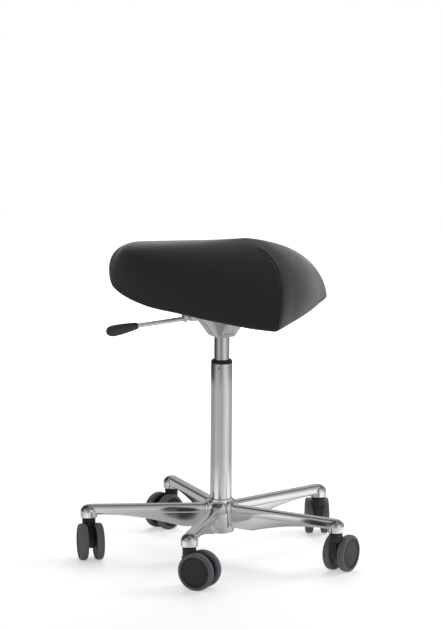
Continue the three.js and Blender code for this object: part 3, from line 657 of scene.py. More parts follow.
def make_pressure_tube():
    wall, edge, taper = 1.5 * mm, 0.5 * mm, 0.6 * mm
    foot_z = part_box("seat_bracket")[0].z
    pin_hole = 4.3 * mm
    cap = 8 * mm
    count = 10
    side = [(pressure_radius, pressure_low.z + edge + (foot_z - pressure_low.z - edge) * i / count)
            for i in range(count + 1)]
    tube = turned_ring("pressure_tube_chromed", [
        (pressure_radius - wall, pressure_low.z), (pressure_radius - edge, pressure_low.z), *side,
        (pressure_radius - taper, pressure_high.z), (pin_hole, pressure_high.z),
        (pin_hole, pressure_high.z - cap), (pressure_radius - wall, pressure_high.z - cap),
    ], 96)
    return smooth(moved(tube, Matrix.Translation(column)), 30)


dress(make_pressure_tube(), "seat", "chrome", chrome, "pressure_tube")


def make_release_pin():
    low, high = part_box("release_pin")
    radius = (high.x - low.x) / 2
    outline = rounded_corners([(0, low.z), (radius, low.z), (radius, high.z), (0, high.z)], 0.8 * mm)
    return smooth(moved(turned("release_pin_turned", outline, 32), Matrix.Translation(column)))


dress(make_release_pin(), "release_pin", "plain_steel", plain_steel, "release_pin")

# Bump stop: a rubber ring on the rod that softens the end of the seat's way down.
black_rubber = moulded_plastic("black_rubber", tone(24, 24, 24), tone(34, 34, 34), 0.8, 0.8 * mm)
coat(black_rubber, "bump_stop")

# Castors: five alike. A black moulded body hangs on a steel stem and carries two wheels, each
# a flat black disc pressed on the axle with a soft grey tread moulded round its rim.
wheel_radius = 33 * mm
wheel_half = 6.75 * mm
tread_inner = 27 * mm
body_half = 6.7 * mm
trail = 20 * mm
axle_height = frame["nodes"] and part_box("castor_axle_a")[0].z + 3 * mm
neck_radius = 12 * mm
castor_letters = "abcde"


def joint_named(name):
    return next(joint for joint in frame["joints"] if joint["name"] == name)


tread_rubber = moulded_plastic("tread_rubber", tone(92, 95, 98), tone(120, 125, 130), 0.58, 0.5 * mm)


def make_tread():
    half, shoulder = wheel_half, 4.5 * mm
    outline = [(tread_inner, -half), (tread_inner, half), (wheel_radius - 3.2 * mm, half)]
    steps = 6
    for i in range(1, steps + 1):
        a = pi / 2 * i / steps
        outline.append((wheel_radius - 3.2 * mm + 3.2 * mm * sin(a), half - shoulder * (1 - cos(a))))
    mirror = [(r, -z) for r, z in reversed(outline[2:])]
    return turned_ring("tread", [*outline, *mirror], 80)


def make_disc():
    face, back = wheel_half - 0.7 * mm, -wheel_half + 1 * mm
    edge = tread_inner - 0.3 * mm
    hub = 3.3 * mm
    outline = [
        (0, face - 3.7 * mm), (hub, face - 3.7 * mm), (hub, back), (edge - 6 * mm, back),
        (edge - 5 * mm, back - 0.0 * mm), (edge, back), (edge, face - 0.5 * mm),
        (edge - 0.7 * mm, face + 0.3 * mm), (edge - 1.8 * mm, face + 0.3 * mm),
        (edge - 2.4 * mm, face - 0.5 * mm), (edge - 3.4 * mm, face - 0.5 * mm),
        (edge - 4.4 * mm, face), (12 * mm, face + 0.2 * mm), (0, face + 0.25 * mm),
    ]
    return turned("disc", rounded_corners(outline, 0.5 * mm, 2), 80)


def make_castor_body():
    """The body on its swivel axis, trailing along +X, over the floor."""
    neck_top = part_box("castor_body_a")[1].z
    nose, boss = 10 * mm, 12 * mm
    neck_low = neck_top - 16 * mm
    side = [(-neck_radius, neck_low), (neck_radius, neck_low)]
    steps = 12
    start, end = radians(45), radians(-90)
    for i in range(steps + 1):
        a = start + (end - start) * i / steps
        side.append((trail + boss * cos(a), axle_height + boss * sin(a)))
    for i in range(steps // 2 + 1):
        a = -pi / 2 - pi / 2 * i / (steps // 2)
        side.append((nose - neck_radius + nose * cos(a), axle_height + nose * sin(a)))
    deselect()
    bpy.ops.mesh.primitive_circle_add(vertices=len(side), fill_type="NGON")
    cheek = bpy.context.object
    cheek.name = "castor_body"
    for vertex, (x, z) in zip(cheek.data.vertices, side):
        vertex.co = (x, -body_half, z)
    bpy.ops.object.mode_set(mode="EDIT")
    bpy.ops.mesh.select_all(action="SELECT")
    bpy.ops.mesh.extrude_region_move(TRANSFORM_OT_translate={"value": (0, 2 * body_half, 0)})
    tidy_skin(cheek)
    edge = cheek.modifiers.new("edge", "BEVEL")
    edge.width = 1.1 * mm
    edge.segments = 3
    edge.angle_limit = radians(50)
    pick(cheek)
    bpy.ops.object.modifier_apply(modifier=edge.name)
    neck = turned("neck", rounded_corners([
        (0, neck_low), (neck_radius, neck_low), (neck_radius, neck_top), (0, neck_top),
    ], 1.2 * mm), 64)
    wells = []
    for way in (1, -1):
        well = turned("well", [
            (0, body_half + 0.05 * mm), (wheel_radius + 0.8 * mm, body_half + 0.05 * mm),
            (wheel_radius + 0.8 * mm, 30 * mm), (0, 30 * mm),
        ], 96)
        turn = Matrix.Rotation(-way * pi / 2, 4, "X")
        wells.append(moved(well, Matrix.Translation((trail, 0, axle_height)) @ turn))
    combine(cheek, [neck], "UNION")
    combine(cheek, wells, "DIFFERENCE")
    return cheek


def make_stem():
    low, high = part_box("castor_stem_a")
    flange = socket_bottom - 1.5 * mm
    radius = 5.5 * mm
    outline = [
        (0, low.z), (radius, low.z), (radius, flange), (8 * mm, flange), (8 * mm, flange + 1.2 * mm),
        (radius, flange + 1.2 * mm), (radius, high.z - 2 * mm), (radius - 2 * mm, high.z), (0, high.z),
    ]
    return turned("stem", rounded_corners(outline, 0.3 * mm, 2), 48)


def make_axle():
    low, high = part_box("castor_axle_a")
    half = 16.3 * mm
    axle = turned("axle", rounded_corners([(0, -half), (3 * mm, -half), (3 * mm, half), (0, half)], 0.6 * mm, 2), 32)
    return moved(axle, Matrix.Translation((trail, 0, axle_height)) @ Matrix.Rotation(pi / 2, 4, "X"))


def copy_of(pattern, name, matrix):
    piece = bpy.data.objects.new(name, pattern.data.copy())
    scene.collection.objects.link(piece)
    return smooth(moved(piece, matrix))


body_pattern, stem_pattern, axle_pattern = make_castor_body(), make_stem(), make_axle()
disc_pattern, tread_pattern = make_disc(), make_tread()
for letter in castor_letters:
    swivel = Vector(joint_named(f"castor_swivel_{letter}")["pos_m"])
    wheels = {side: joint_named(f"wheel_roll_{letter}_{side}") for side in ("left", "right")}
    middle = (Vector(wheels["left"]["pos_m"]) + Vector(wheels["right"]["pos_m"])) / 2
    turn = atan2(middle.y - swivel.y, middle.x - swivel.x)
    at_swivel = Matrix.Translation((swivel.x, swivel.y, 0)) @ Matrix.Rotation(turn, 4, "Z")
    for pattern, slot, material in (
        (body_pattern, "black_plastic", black_plastic),
        (stem_pattern, "plain_steel", plain_steel),
        (axle_pattern, "plain_steel", plain_steel),
    ):
        kind = {body_pattern: "body", stem_pattern: "stem", axle_pattern: "axle"}[pattern]
        piece = copy_of(pattern, f"{kind}_{letter}", at_swivel)
        dress(piece, f"castor_{letter}", slot, material, f"castor_{kind}_{letter}")
    for side, way in (("left", 1), ("right", -1)):
        outwards = Matrix.Rotation(-way * pi / 2, 4, "X")
        place = Vector(wheels[side]["pos_m"])
        at_wheel = Matrix.Translation(place) @ Matrix.Rotation(turn, 4, "Z") @ outwards
        disc = copy_of(disc_pattern, f"disc_{letter}_{side}", at_wheel)
        dress(disc, f"wheel_{letter}_{side}", "black_plastic", black_plastic, f"wheel_disc_{letter}_{side}")
        tread = copy_of(tread_pattern, f"tread_{letter}_{side}", at_wheel)
        dress(tread, f"wheel_{letter}_{side}", "tread_rubber", tread_rubber, f"wheel_tread_{letter}_{side}")
for pattern in (body_pattern, stem_pattern, axle_pattern, disc_pattern, tread_pattern):
    bpy.data.objects.remove(pattern)

# Seat bracket: one light aluminium casting under the seat. A foot with a tapered bore sits on
# the gas spring, four bowl-shaped wings carry a flat plate, and the lever runs in a slot.
bracket_low, bracket_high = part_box("seat_bracket")
board_low, board_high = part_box("seat_board")
lever_turn = radians(-45)
lever_droop = radians(3)
lever_pivot_out = 30 * mm
lever_height = joint_named("lever_tip")["pos_m"][2] + lever_pivot_out * sin(lever_droop)
lever_radius = 4 * mm
wing_half = 14.5 * mm
wing_reach = 78 * mm
plate_half = 62 * mm
plate_thick = 6 * mm
plate_corner = 14 * mm
screw_out = 49 * mm
screw_radius = 3 * mm
screw_head = 6 * mm
overrun = 2 * mm


def cast_metal():
    """Aluminium as cast, lightly blasted and clear coated: a fine even grain."""
    finish = Finish("cast_aluminium", tone(214, 214, 213), 0.42, 0.82)
    grain = finish.noise(0.5 * mm, 2.0)
    cloud = finish.noise(9 * mm, 3.0)
    finish.vary_colour(cloud * 0.7 + grain * 0.3, tone(204, 204, 203), tone(224, 224, 223))
    finish.feed("Roughness", cloud * 0.12 + grain * 0.08 + 0.32)
    finish.emboss(grain, 0.04 * mm, 0.5)
    return finish.material


cast_aluminium = cast_metal()


def curve_point(a, b, c, d, t):
    u = 1 - t
    return a * u**3 + b * (3 * u * u * t) + c * (3 * u * t * t) + d * t**3


def make_wing():
    """A wing along +X: its side outline given a thickness, with a raised panel on its belly."""
    foot, top = bracket_low.z, bracket_high.z
    belly = [Vector(p) for p in (
        (17 * mm, foot), (30 * mm, foot + 9 * mm), (39 * mm, top - 24 * mm), (wing_reach, top - plate_thick),
    )]
    steps = 18
    side = [(0, foot)] + [tuple(curve_point(*belly, i / steps)) for i in range(steps + 1)]
    side += [(wing_reach, top - plate_thick / 2), (0, top - plate_thick / 2)]
    deselect()
    bpy.ops.mesh.primitive_circle_add(vertices=len(side), fill_type="NGON")
    wing = bpy.context.object
    wing.name = "wing"
    for vertex, (x, z) in zip(wing.data.vertices, side):
        vertex.co = (x, -wing_half, z)
    bpy.ops.object.mode_set(mode="EDIT")
    bpy.ops.mesh.select_all(action="SELECT")
    bpy.ops.mesh.extrude_region_move(TRANSFORM_OT_translate={"value": (0, 2 * wing_half, 0)})
    tidy_skin(wing)
    bpy.ops.object.mode_set(mode="EDIT")
    mesh = bmesh.from_edit_mesh(wing.data)
    for face in mesh.faces:
        middle = face.calc_center_median()
        face.select_set(face.normal.z < -0.2 and abs(face.normal.y) < 0.5 and 21 * mm < middle.x < 70 * mm)
    bmesh.update_edit_mesh(wing.data)
    bpy.ops.mesh.inset(thickness=4 * mm)
    bpy.ops.mesh.inset(thickness=1 * mm, depth=1 * mm)
    bpy.ops.object.mode_set(mode="OBJECT")
    soften(wing, 1.6 * mm, 40)
    return wing


def soften(piece, width, angle=30, segments=3):
    """Rounds the sharp edges of a piece."""
    pick(piece)
    edge = piece.modifiers.new("edge", "BEVEL")
    edge.width = width
    edge.segments = segments
    edge.angle_limit = radians(angle)
    bpy.ops.object.modifier_apply(modifier=edge.name)
    return piece


def make_bracket():
    foot, top = bracket_low.z, bracket_high.z
    bore, cavity = 34 * mm, 21 * mm
    hub = turned("seat_bracket_cast", rounded_corners([
        (0, foot), (17 * mm, foot), (18.5 * mm, foot + 9 * mm), (24 * mm, foot + 34 * mm),
        (26 * mm, top - plate_thick / 2), (0, top - plate_thick / 2),
    ], 1.5 * mm), 64)
    deselect()
    bpy.ops.mesh.primitive_cube_add(size=1, location=(0, 0, top - plate_thick / 2))
    plate = bpy.context.object
    plate.scale = (2 * plate_half, 2 * plate_half, plate_thick)
    bpy.ops.object.transform_apply(location=True, scale=True)
    bpy.ops.object.mode_set(mode="EDIT")
    mesh = bmesh.from_edit_mesh(plate.data)
    bpy.ops.mesh.select_mode(type="EDGE")
    bpy.ops.mesh.select_all(action="DESELECT")
    for edge in mesh.edges:
        edge.select_set(abs((edge.verts[0].co - edge.verts[1].co).z) > plate_thick / 2)
    bmesh.update_edit_mesh(plate.data)
    bpy.ops.mesh.bevel(offset=plate_corner, segments=8)
    bpy.ops.mesh.select_mode(type="VERT")
    bpy.ops.object.mode_set(mode="OBJECT")
    soften(plate, 0.8 * mm, 50, 2)
    wings = [moved(make_wing(), Matrix.Rotation(radians(45 + 90 * i), 4, "Z")) for i in range(4)]
    combine(hub, [plate, *wings], "UNION")
    holes = [
        turned("bore", [(0, foot - overrun), (pressure_radius + 0.3 * mm, foot - overrun),
                        (pressure_radius + 0.3 * mm, foot), (pressure_radius - 0.3 * mm, foot + bore),
                        (0, foot + bore)], 64),
        turned("cavity", [(0, foot + bore - overrun), (cavity, foot + bore - overrun),
                          (cavity, top + overrun), (0, top + overrun)], 64),
    ]
    slot_low, slot_high = foot + bore - overrun, top - plate_thick - 4 * mm
    deselect()
    bpy.ops.mesh.primitive_cube_add(size=1)
    slot = bpy.context.object
    slot.scale = (wing_reach + overrun, 11 * mm, slot_high - slot_low)
    bpy.ops.object.transform_apply(scale=True)
    moved(slot, Matrix.Translation(((wing_reach + overrun) / 2, 0, (slot_low + slot_high) / 2)))
    soften(slot, 2 * mm, 50)
    holes.append(moved(slot, Matrix.Rotation(lever_turn, 4, "Z")))
    for i in range(4):
        spot = Matrix.Rotation(pi / 2 * i, 4, "Z") @ Matrix.Translation((screw_out, screw_out, 0))
        head = screw_head + 0.3 * mm
        pocket = turned("pocket", [(0, foot), (head, foot), (head, top - plate_thick), (0, top - plate_thick)], 32)
        shank = screw_radius + 0.3 * mm
        hole = turned("hole", [(0, foot), (shank, foot), (shank, top + overrun), (0, top + overrun)], 24)
        holes += [moved(pocket, spot), moved(hole, spot)]
    combine(hub, holes, "DIFFERENCE")
    return smooth(moved(hub, Matrix.Translation(column)), 30)


dress(make_bracket(), "seat", "cast_aluminium", cast_aluminium, "seat_bracket")

# Bracket screws: four steel socket-head screws, up through the plate into the seat board.


def make_screw():
    low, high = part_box("bracket_screw_1")
    head_top = low.z + 4 * mm
    screw = turned("screw", rounded_corners([
        (0, low.z), (screw_head, low.z), (screw_head, head_top), (screw_radius, head_top),
        (screw_radius, high.z - 1 * mm), (screw_radius - 1 * mm, high.z), (0, high.z),
    ], 0.6 * mm, 3), 48)
    key = turned("key", [(0, low.z - overrun), (2.3 * mm, low.z - overrun), (2.3 * mm, head_top - 2 * mm),
                         (0, head_top - 2 * mm)], 6)
    return combine(screw, [key], "DIFFERENCE")


screw_pattern = make_screw()
for i, (x_way, y_way) in enumerate([(1, 1), (-1, 1), (-1, -1), (1, -1)]):
    at_spot = Matrix.Translation(column + Vector((x_way * screw_out, y_way * screw_out, 0)))
    screw = copy_of(screw_pattern, f"socket_screw_{i + 1}", at_spot)
    dress(screw, "seat", "plain_steel", plain_steel, f"bracket_screw_{i + 1}")
bpy.data.objects.remove(screw_pattern)

# Release lever: a straight chromed rod on a cross pin in the bracket's slot, with a soft
# black moulded grip on its end, cut square where the rod enters and swelling outwards.
lever_length = 232 * mm
lever_tail = 6 * mm
grip_length = 60 * mm
grip_inset = 14 * mm
grip_neck = 6 * mm
grip_half_width = 13 * mm
grip_half_thick = 9.5 * mm
at_lever = (
    Matrix.Translation(column + Vector((0, 0, lever_height)))
    @ Matrix.Rotation(lever_turn, 4, "Z")
    @ Matrix.Rotation(lever_droop, 4, "Y")
)


def make_lever_rod():
    far = lever_length - grip_inset
    count = 12
    side = [(lever_radius, -lever_tail + 0.5 * mm + (far + lever_tail - 1 * mm) * i / count) for i in range(count + 1)]
    rod = turned("lever_rod_chromed", [
        (0, -lever_tail), (lever_radius - 0.5 * mm, -lever_tail), *side, (lever_radius - 0.5 * mm, far), (0, far),
    ], 48)
    moved(rod, Matrix.Rotation(pi / 2, 4, "Y"))
    eye = turned("eye", [(0, -8 * mm), (2.3 * mm, -8 * mm), (2.3 * mm, 8 * mm), (0, 8 * mm)], 24)
    moved(eye, Matrix.Translation((lever_pivot_out, 0, 0)) @ Matrix.Rotation(pi / 2, 4, "X"))
    combine(rod, [eye], "DIFFERENCE")
    return smooth(moved(rod, at_lever), 30)


def make_pivot_pin():
    half = 13 * mm
    pin = turned("lever_pin_turned", rounded_corners([(0, -half), (2 * mm, -half), (2 * mm, half), (0, half)], 0.4 * mm), 32)
    moved(pin, at_lever @ Matrix.Translation((lever_pivot_out, 0, 0)) @ Matrix.Rotation(pi / 2, 4, "X"))
    return smooth(pin)


def grip_section(s, sides=44):
    """The grip's section at a share of its length: an oval with a slightly flatter top."""
    swell = sin(pi / 2 * min(1, s / 0.78))
    tip = max(0.0, s - 0.78) / 0.22
    rounding = sqrt(max(0.0, 1 - tip**2.3))
    across = (grip_neck + (grip_half_width - grip_neck) * swell) * rounding
    deep = (grip_neck + (grip_half_thick - grip_neck) * swell) * rounding
    drop = (grip_half_thick - grip_neck) * s
    ring = []
    for i in range(sides + 1):
        a = 2 * pi * i / sides
        y = across * abs(cos(a)) ** 0.9 * (1 if cos(a) >= 0 else -1)
        z = deep * abs(sin(a)) ** 0.85 * (1 if sin(a) >= 0 else -1)
        ring.append((lever_length - grip_length * (1 - s), y, z - drop))
    return ring


def make_grip():
    edge = 0.02
    start = [(x, y * 0.9, z * 0.9) for x, y, z in grip_section(0)]
    shares = [0.012, 0.03] + [0.06 + 0.72 * i / 12 for i in range(13)]
    shares += [0.78 + 0.22 * sin(pi / 2 * i / 12) for i in range(1, 13)]
    grip = skin("lever_grip_moulded", capped([start, *[grip_section(s) for s in shares]]))
    tidy_skin(grip)
    hole_radius, far = lever_radius + 0.15 * mm, lever_length - grip_inset + 0.3 * mm
    near = lever_length - grip_length - overrun
    hole = turned("hole", [(0, near), (hole_radius, near), (hole_radius, far), (0, far)], 32)
    combine(grip, [moved(hole, Matrix.Rotation(pi / 2, 4, "Y"))], "DIFFERENCE")
    return smooth(moved(grip, at_lever), 40)


grip_plastic = moulded_plastic("grip_plastic", tone(64, 61, 64), tone(80, 76, 80), 0.55, 0.5 * mm)
satin_chrome = polished_metal("satin_chrome", 248, 0.3, 1.2 * mm, 0.01 * mm, (0.05, 1, 1), 0.3)
dress(make_lever_rod(), "lever", "chrome", satin_chrome, "lever_rod")
dress(make_grip(), "lever", "grip_plastic", grip_plastic, "lever_grip")
dress(make_pivot_pin(), "seat", "plain_steel", plain_steel, "lever_pivot_pin")

# Seat board: moulded birch plywood, 12 mm thick, rising to the nose. Foam, cover and lining
# hide it, so its own solid stays, with the plies showing on its edges.


def plywood():
    finish = Finish("birch_board", tone(205, 170, 122), 0.6)
    grain = finish.noise(3 * mm, 4.0, (1, 0.06, 1))
    plies = finish.add("ShaderNodeTexWave", {"bands_direction": "Z"}, {"Vector": finish.place, "Scale": 110.0,
                                                                    "Distortion": 0.6})
    finish.vary_colour(grain * 0.6 + plies * 0.4, tone(176, 138, 92), tone(218, 186, 140))
    finish.emboss(grain, 0.08 * mm, 0.4)
    return finish.material


coat(plywood(), "seat_board")

# Saddle: moulded foam on the board under a close wool-like cover. One panel runs over the
# nose and both flanks, and a rear panel meets it in a twin-needle seam up each rear corner.
# The cover is folded under the board's edge and stapled there.
nose_y = -208.5 * mm
shoulder_y = -126 * mm
nose_half = 79.5 * mm
corner_y = 146 * mm
rear_y = 156 * mm
rear_half = 186 * mm
flank_bulge = 9 * mm
nose_blunt = 36 * mm
nose_sweep = 42 * mm
corner_run = 18 * mm  # how far from the seam the outline starts to round the corner
corner_swell = Vector((2 * mm, 3.2 * mm))  # how far the rounded corner is stuffed out, to keep its reach
swell_run = 90 * mm
board_z = board_low.z
board_thick = 12 * mm
board_inset = 30 * mm
board_flat_y = -60 * mm
board_nose_rise = 24 * mm
board_lengths = {"nose": 7, "flank": 10, "rear": 5}  # straight lengths in the board's sawn edge
rim_heights = [
    (nose_y, 42.5 * mm), (nose_y + (shoulder_y - nose_y) / 6, 21.75 * mm), (shoulder_y, 1 * mm),
    (-53 * mm, -4.5 * mm), (20 * mm, -10 * mm), (71 * mm, -13 * mm), (100 * mm, -14.6 * mm), (corner_y, -14.4 * mm),
]
ridge_heights = [(-156.7 * mm, 99.7 * mm), (-60 * mm, 107.4 * mm), (14 * mm, 113.9 * mm), (39 * mm, 116.4 * mm)]
seam_y = 14 * mm
rim_roll = 6.5 * mm
rim_lift = 4.5 * mm
rim_under = 1.75 * mm
lean_out = 3.5 * mm
nose_rise, corner_rise, rear_rise = 41.1 * mm, 22 * mm, 44 * mm
corner_lean, rear_bulge = 6.2 * mm, 12 * mm
nose_top_out, shoulder_top_out, corner_top_out = 18.6 * mm, 88 * mm, 60 * mm
corner_top_back, rear_top_back = 142 * mm, 108 * mm
seam_relief = [
    (0.0, -1.7 * mm), (0.8 * mm, -0.5 * mm), (1.7 * mm, 0.6 * mm), (2.8 * mm, 0.65 * mm),
    (3.8 * mm, -0.35 * mm), (4.9 * mm, 0.35 * mm), (7.5 * mm, 0.0),
]
beside_seam = [0.4 * mm, 0.9 * mm, 1.6 * mm, 2.3 * mm, 3.0 * mm, 3.8 * mm, 4.6 * mm, 5.6 * mm, 7.8 * mm]
stitch_out = 3.8 * mm
flat_seam = 7  # rows below the ridge where the seam is pulled flat before it starts to show
stitch_pitch = 3.6 * mm
stitch_long = 2.7 * mm
stitch_thick = 0.85 * mm
swell_cap = 2.5 * mm


def eased_table(table, y):
    """A smooth height through a table of places, level beyond its ends."""
    if y <= table[0][0]:
        return table[0][1]
    for i in range(1, len(table)):
        (y0, z0), (y1, z1) = table[i - 1], table[i]
        if y <= y1:
            before, after = table[max(0, i - 2)], table[min(len(table) - 1, i + 1)]
            slope0 = (z1 - before[1]) / (y1 - before[0])
            slope1 = (after[1] - z0) / (after[0] - y0)
            s, span = (y - y0) / (y1 - y0), y1 - y0
            h00, h10 = 2 * s**3 - 3 * s**2 + 1, s**3 - 2 * s**2 + s
            h01, h11 = 3 * s**2 - 2 * s**3, s**3 - s**2
            return z0 * h00 + slope0 * span * h10 + z1 * h01 + slope1 * span * h11
    return table[-1][1]


def sharp_plan(part, s):
    """The saddle's outline from above, as far as it goes without its rounded corner."""
    if part == "nose":
        sweep = Vector((rear_half - nose_half + 4 * flank_bulge, corner_y - shoulder_y)).normalized() * nose_sweep
        corner = Vector((nose_half, shoulder_y))
        return curve_point(Vector((0, nose_y)), Vector((nose_blunt, nose_y)), corner - sweep, corner, s)
    if part == "flank":
        x = nose_half + (rear_half - nose_half) * s + 4 * flank_bulge * s * (1 - s)
        return Vector((x, shoulder_y + (corner_y - shoulder_y) * s))
    return Vector((rear_half * (1 - s), corner_y + (rear_y - corner_y) * (1 - (1 - s) ** 2)))


flank_span = 281 * mm  # length of outline for each unit of s beside the corner
rear_span = 187 * mm


def plan(part, s):
    """The saddle's outline from above, with the corner at the seam's foot rounded."""
    along = {"nose": -flank_span, "flank": (s - 1) * flank_span, "rear": s * rear_span}[part]
    swell = corner_swell * max(0, 1 - (along / swell_run) ** 2) ** 2
    if abs(along) >= corner_run:
        return sharp_plan(part, s) + swell
    u = (along + corner_run) / (2 * corner_run)
    before, after = sharp_plan("flank", 1 - corner_run / flank_span), sharp_plan("rear", corner_run / rear_span)
    return before * (1 - u) ** 2 + sharp_plan("rear", 0) * (2 * u * (1 - u)) + after * u**2 + swell


def saddle_profile(part, s):
    """A profile of the skin from the rim up to the ridge: its rim point and its four curve points."""
    x, y = plan(part, s)
    rim = Vector((x, y, eased_table(rim_heights, y)))
    if part == "nose":
        ridge = Vector((0, *ridge_heights[0]))
        away = Vector((sin(s * pi / 2), -cos(s * pi / 2), 0))
        low = rim + Vector((0, 0, nose_rise)) + away * lean_out
        high = ridge + away * (nose_top_out + (shoulder_top_out - nose_top_out) * s)
    elif part == "flank":
        k = s**2
        ridge_y = ridge_heights[0][0] + (seam_y - ridge_heights[0][0]) * s
        ridge = Vector((0, ridge_y, eased_table(ridge_heights, ridge_y)))
        lean = corner_lean * k - lean_out * (1 - k)
        low = rim + Vector((-lean, 0, nose_rise + (corner_rise - nose_rise) * k))
        high = ridge + Vector((shoulder_top_out + (corner_top_out - shoulder_top_out) * k, corner_top_back * k, 0))
    else:
        k = s * s * (3 - 2 * s)
        ridge_y = seam_y + (ridge_heights[-1][0] - seam_y) * (1 - (1 - s) ** 2)
        ridge = Vector((0, ridge_y, eased_table(ridge_heights, ridge_y)))
        low = rim + Vector((-corner_lean * (1 - s), rear_bulge * k, corner_rise + (rear_rise - corner_rise) * k))
        back = corner_top_back + (rear_top_back - corner_top_back) * k
        high = ridge + Vector((corner_top_out * (1 - s), back, 0))
    lift = Vector((0, 0, rim_lift))
    return rim, rim + lift, low + lift / 2, high, ridge


def board_lift(y):
    """How far the board's lower face has risen towards the nose."""
    reach = board_flat_y - (nose_y + board_inset)
    return board_nose_rise * (max(0, board_flat_y - y) / reach) ** 2


def sawn_edge(inset):
    """Half of the board's outline, from the nose to the rear, inset from the saddle's."""
    corners = [sharp_plan("nose", 0)]
    for part, count in board_lengths.items():
        corners += [sharp_plan(part, i / count) for i in range(1, count + 1)]
    last = len(corners) - 1
    points = []
    for i, here in enumerate(corners):
        run = (corners[min(last, i + 1)] - corners[max(0, i - 1)]).normalized()
        across = {0: Vector((0, 1)), last: Vector((0, -1))}.get(i, Vector((-run.y, run.x)))
        points.append(here + across * inset)
    return points


def edge_point(points, part, s):
    """The place on the board's sawn edge that lies inwards of a place on the outline."""
    before = {"nose": 0, "flank": board_lengths["nose"], "rear": board_lengths["nose"] + board_lengths["flank"]}
    place = before[part] + s * board_lengths[part]
    i = min(int(place), len(points) - 2)
    return points[i].lerp(points[i + 1], place - i)


def saddle_columns():
    """Where the profiles stand along half of the outline, closer together beside the seam."""
    nose_count, flank_count, rear_count = 20, 46, 30
    near_flank, near_rear = beside_seam[-1] / flank_span, beside_seam[-1] / rear_span
    columns = [("nose", i / nose_count) for i in range(nose_count)]
    columns += [("flank", (1 - near_flank) * i / flank_count) for i in range(flank_count + 1)]
    columns += [("flank", 1 - out / flank_span) for out in reversed(beside_seam[:-1])]
    columns += [("flank", 1.0)]
    columns += [("rear", out / rear_span) for out in beside_seam]
    columns += [("rear", near_rear + (1 - near_rear) * i / rear_count) for i in range(1, rear_count + 1)]
    return columns


def saddle_rows():
    """Rings of the saddle's closed skin, from the pocket for the board out, up and over."""
    columns = saddle_columns()
    profiles = [saddle_profile(part, s) for part, s in columns]
    sawn = sawn_edge(board_inset - 0.1 * mm)
    edge = [edge_point(sawn, part, s) for part, s in columns]
    under = sawn_edge(board_inset + 5 * mm)
    hem = [edge_point(under, part, s) for part, s in columns]
    heart = Vector((0, -20 * mm))
    rows = []

    def ring(points, height):
        rows.append([Vector((p.x, p.y, board_lift(p.y) + height)) for p in points])

    for share in (0.0, 0.2, 0.4, 0.6, 0.8, 0.95, 1.0):
        ring([heart.lerp(p, share) for p in edge], board_thick + 0.3 * mm)
    ring(edge, board_thick * 0.5)
    ring(edge, -0.1 * mm)
    ring(hem, -0.1 * mm)
    ring([p.lerp(q, 0.04) for p, q in zip(hem, edge)], -0.6 * mm)
    ring([p.lerp(q, 0.0) for p, q in zip(hem, edge)], -0.95 * mm)
    ring([p.lerp(q, 0.2) for p, q in zip(hem, edge)], -1.2 * mm)
    ring(edge, -1.25 * mm)
    for share in (0.12, 0.3, 0.48, 0.64):
        row = []
        for inner, profile in zip(edge, profiles):
            rim = profile[0]
            p = inner.lerp(rim.xy, share)
            eased = share**1.4
            row.append(Vector((*p, (board_lift(p.y) - 1.25 * mm) * (1 - eased) + (rim.z - rim_under) * eased)))
        rows.append(row)
    roll_steps = 6
    for i in range(roll_steps):
        a = pi / 2 * (1 - i / roll_steps)
        share = 1 - rim_roll / board_inset * (1 - cos(a))
        height = rim_lift - (rim_lift + rim_under) * sin(a)
        rows.append([Vector((*p.lerp(profile[0].xy, share), profile[0].z + height))
                     for p, profile in zip(edge, profiles)])
    rim_row = len(rows)
    near_rim = [0.0, 0.008, 0.016, 0.025, 0.036, 0.05]
    count = 52
    shares = near_rim + [near_rim[-1] + (1 - near_rim[-1]) * i / count for i in range(1, count + 1)]
    rows += [[curve_point(*profile[1:], t) for profile in profiles] for t in shares]
    return rows, columns, rim_row


def inflate(cover, pinned, most):
    """Lets the cover swell over its stuffing for a moment, with no point moving past a cap."""
    rest = [vertex.co.copy() for vertex in cover.data.vertices]
    group = cover.vertex_groups.new(name="sewn")
    for index, weight in pinned.items():
        group.add([index], weight, "REPLACE")
    cloth = cover.modifiers.new("cloth", "CLOTH")
    cloth.settings.quality = 5
    cloth.settings.mass = 0.4
    cloth.settings.tension_stiffness = 25
    cloth.settings.compression_stiffness = 25
    cloth.settings.bending_stiffness = 2
    cloth.settings.use_pressure = True
    cloth.settings.uniform_pressure_force = 4
    cloth.settings.vertex_group_mass = "sewn"
    cloth.settings.effector_weights.gravity = 0
    cloth.collision_settings.use_collision = False
    for step in range(1, 21):
        scene.frame_set(step)
    shaped = cover.evaluated_get(bpy.context.evaluated_depsgraph_get())
    ends = [vertex.co.copy() for vertex in shaped.data.vertices]
    cover.modifiers.remove(cloth)
    cover.vertex_groups.clear()
    for vertex, start, end in zip(cover.data.vertices, rest, ends):
        way = end - start
        moved_by = way.length
        if moved_by > 0:
            vertex.co = start + way * (most * tanh(moved_by / most) / moved_by)
    cover.data.update()
    scene.frame_set(1)


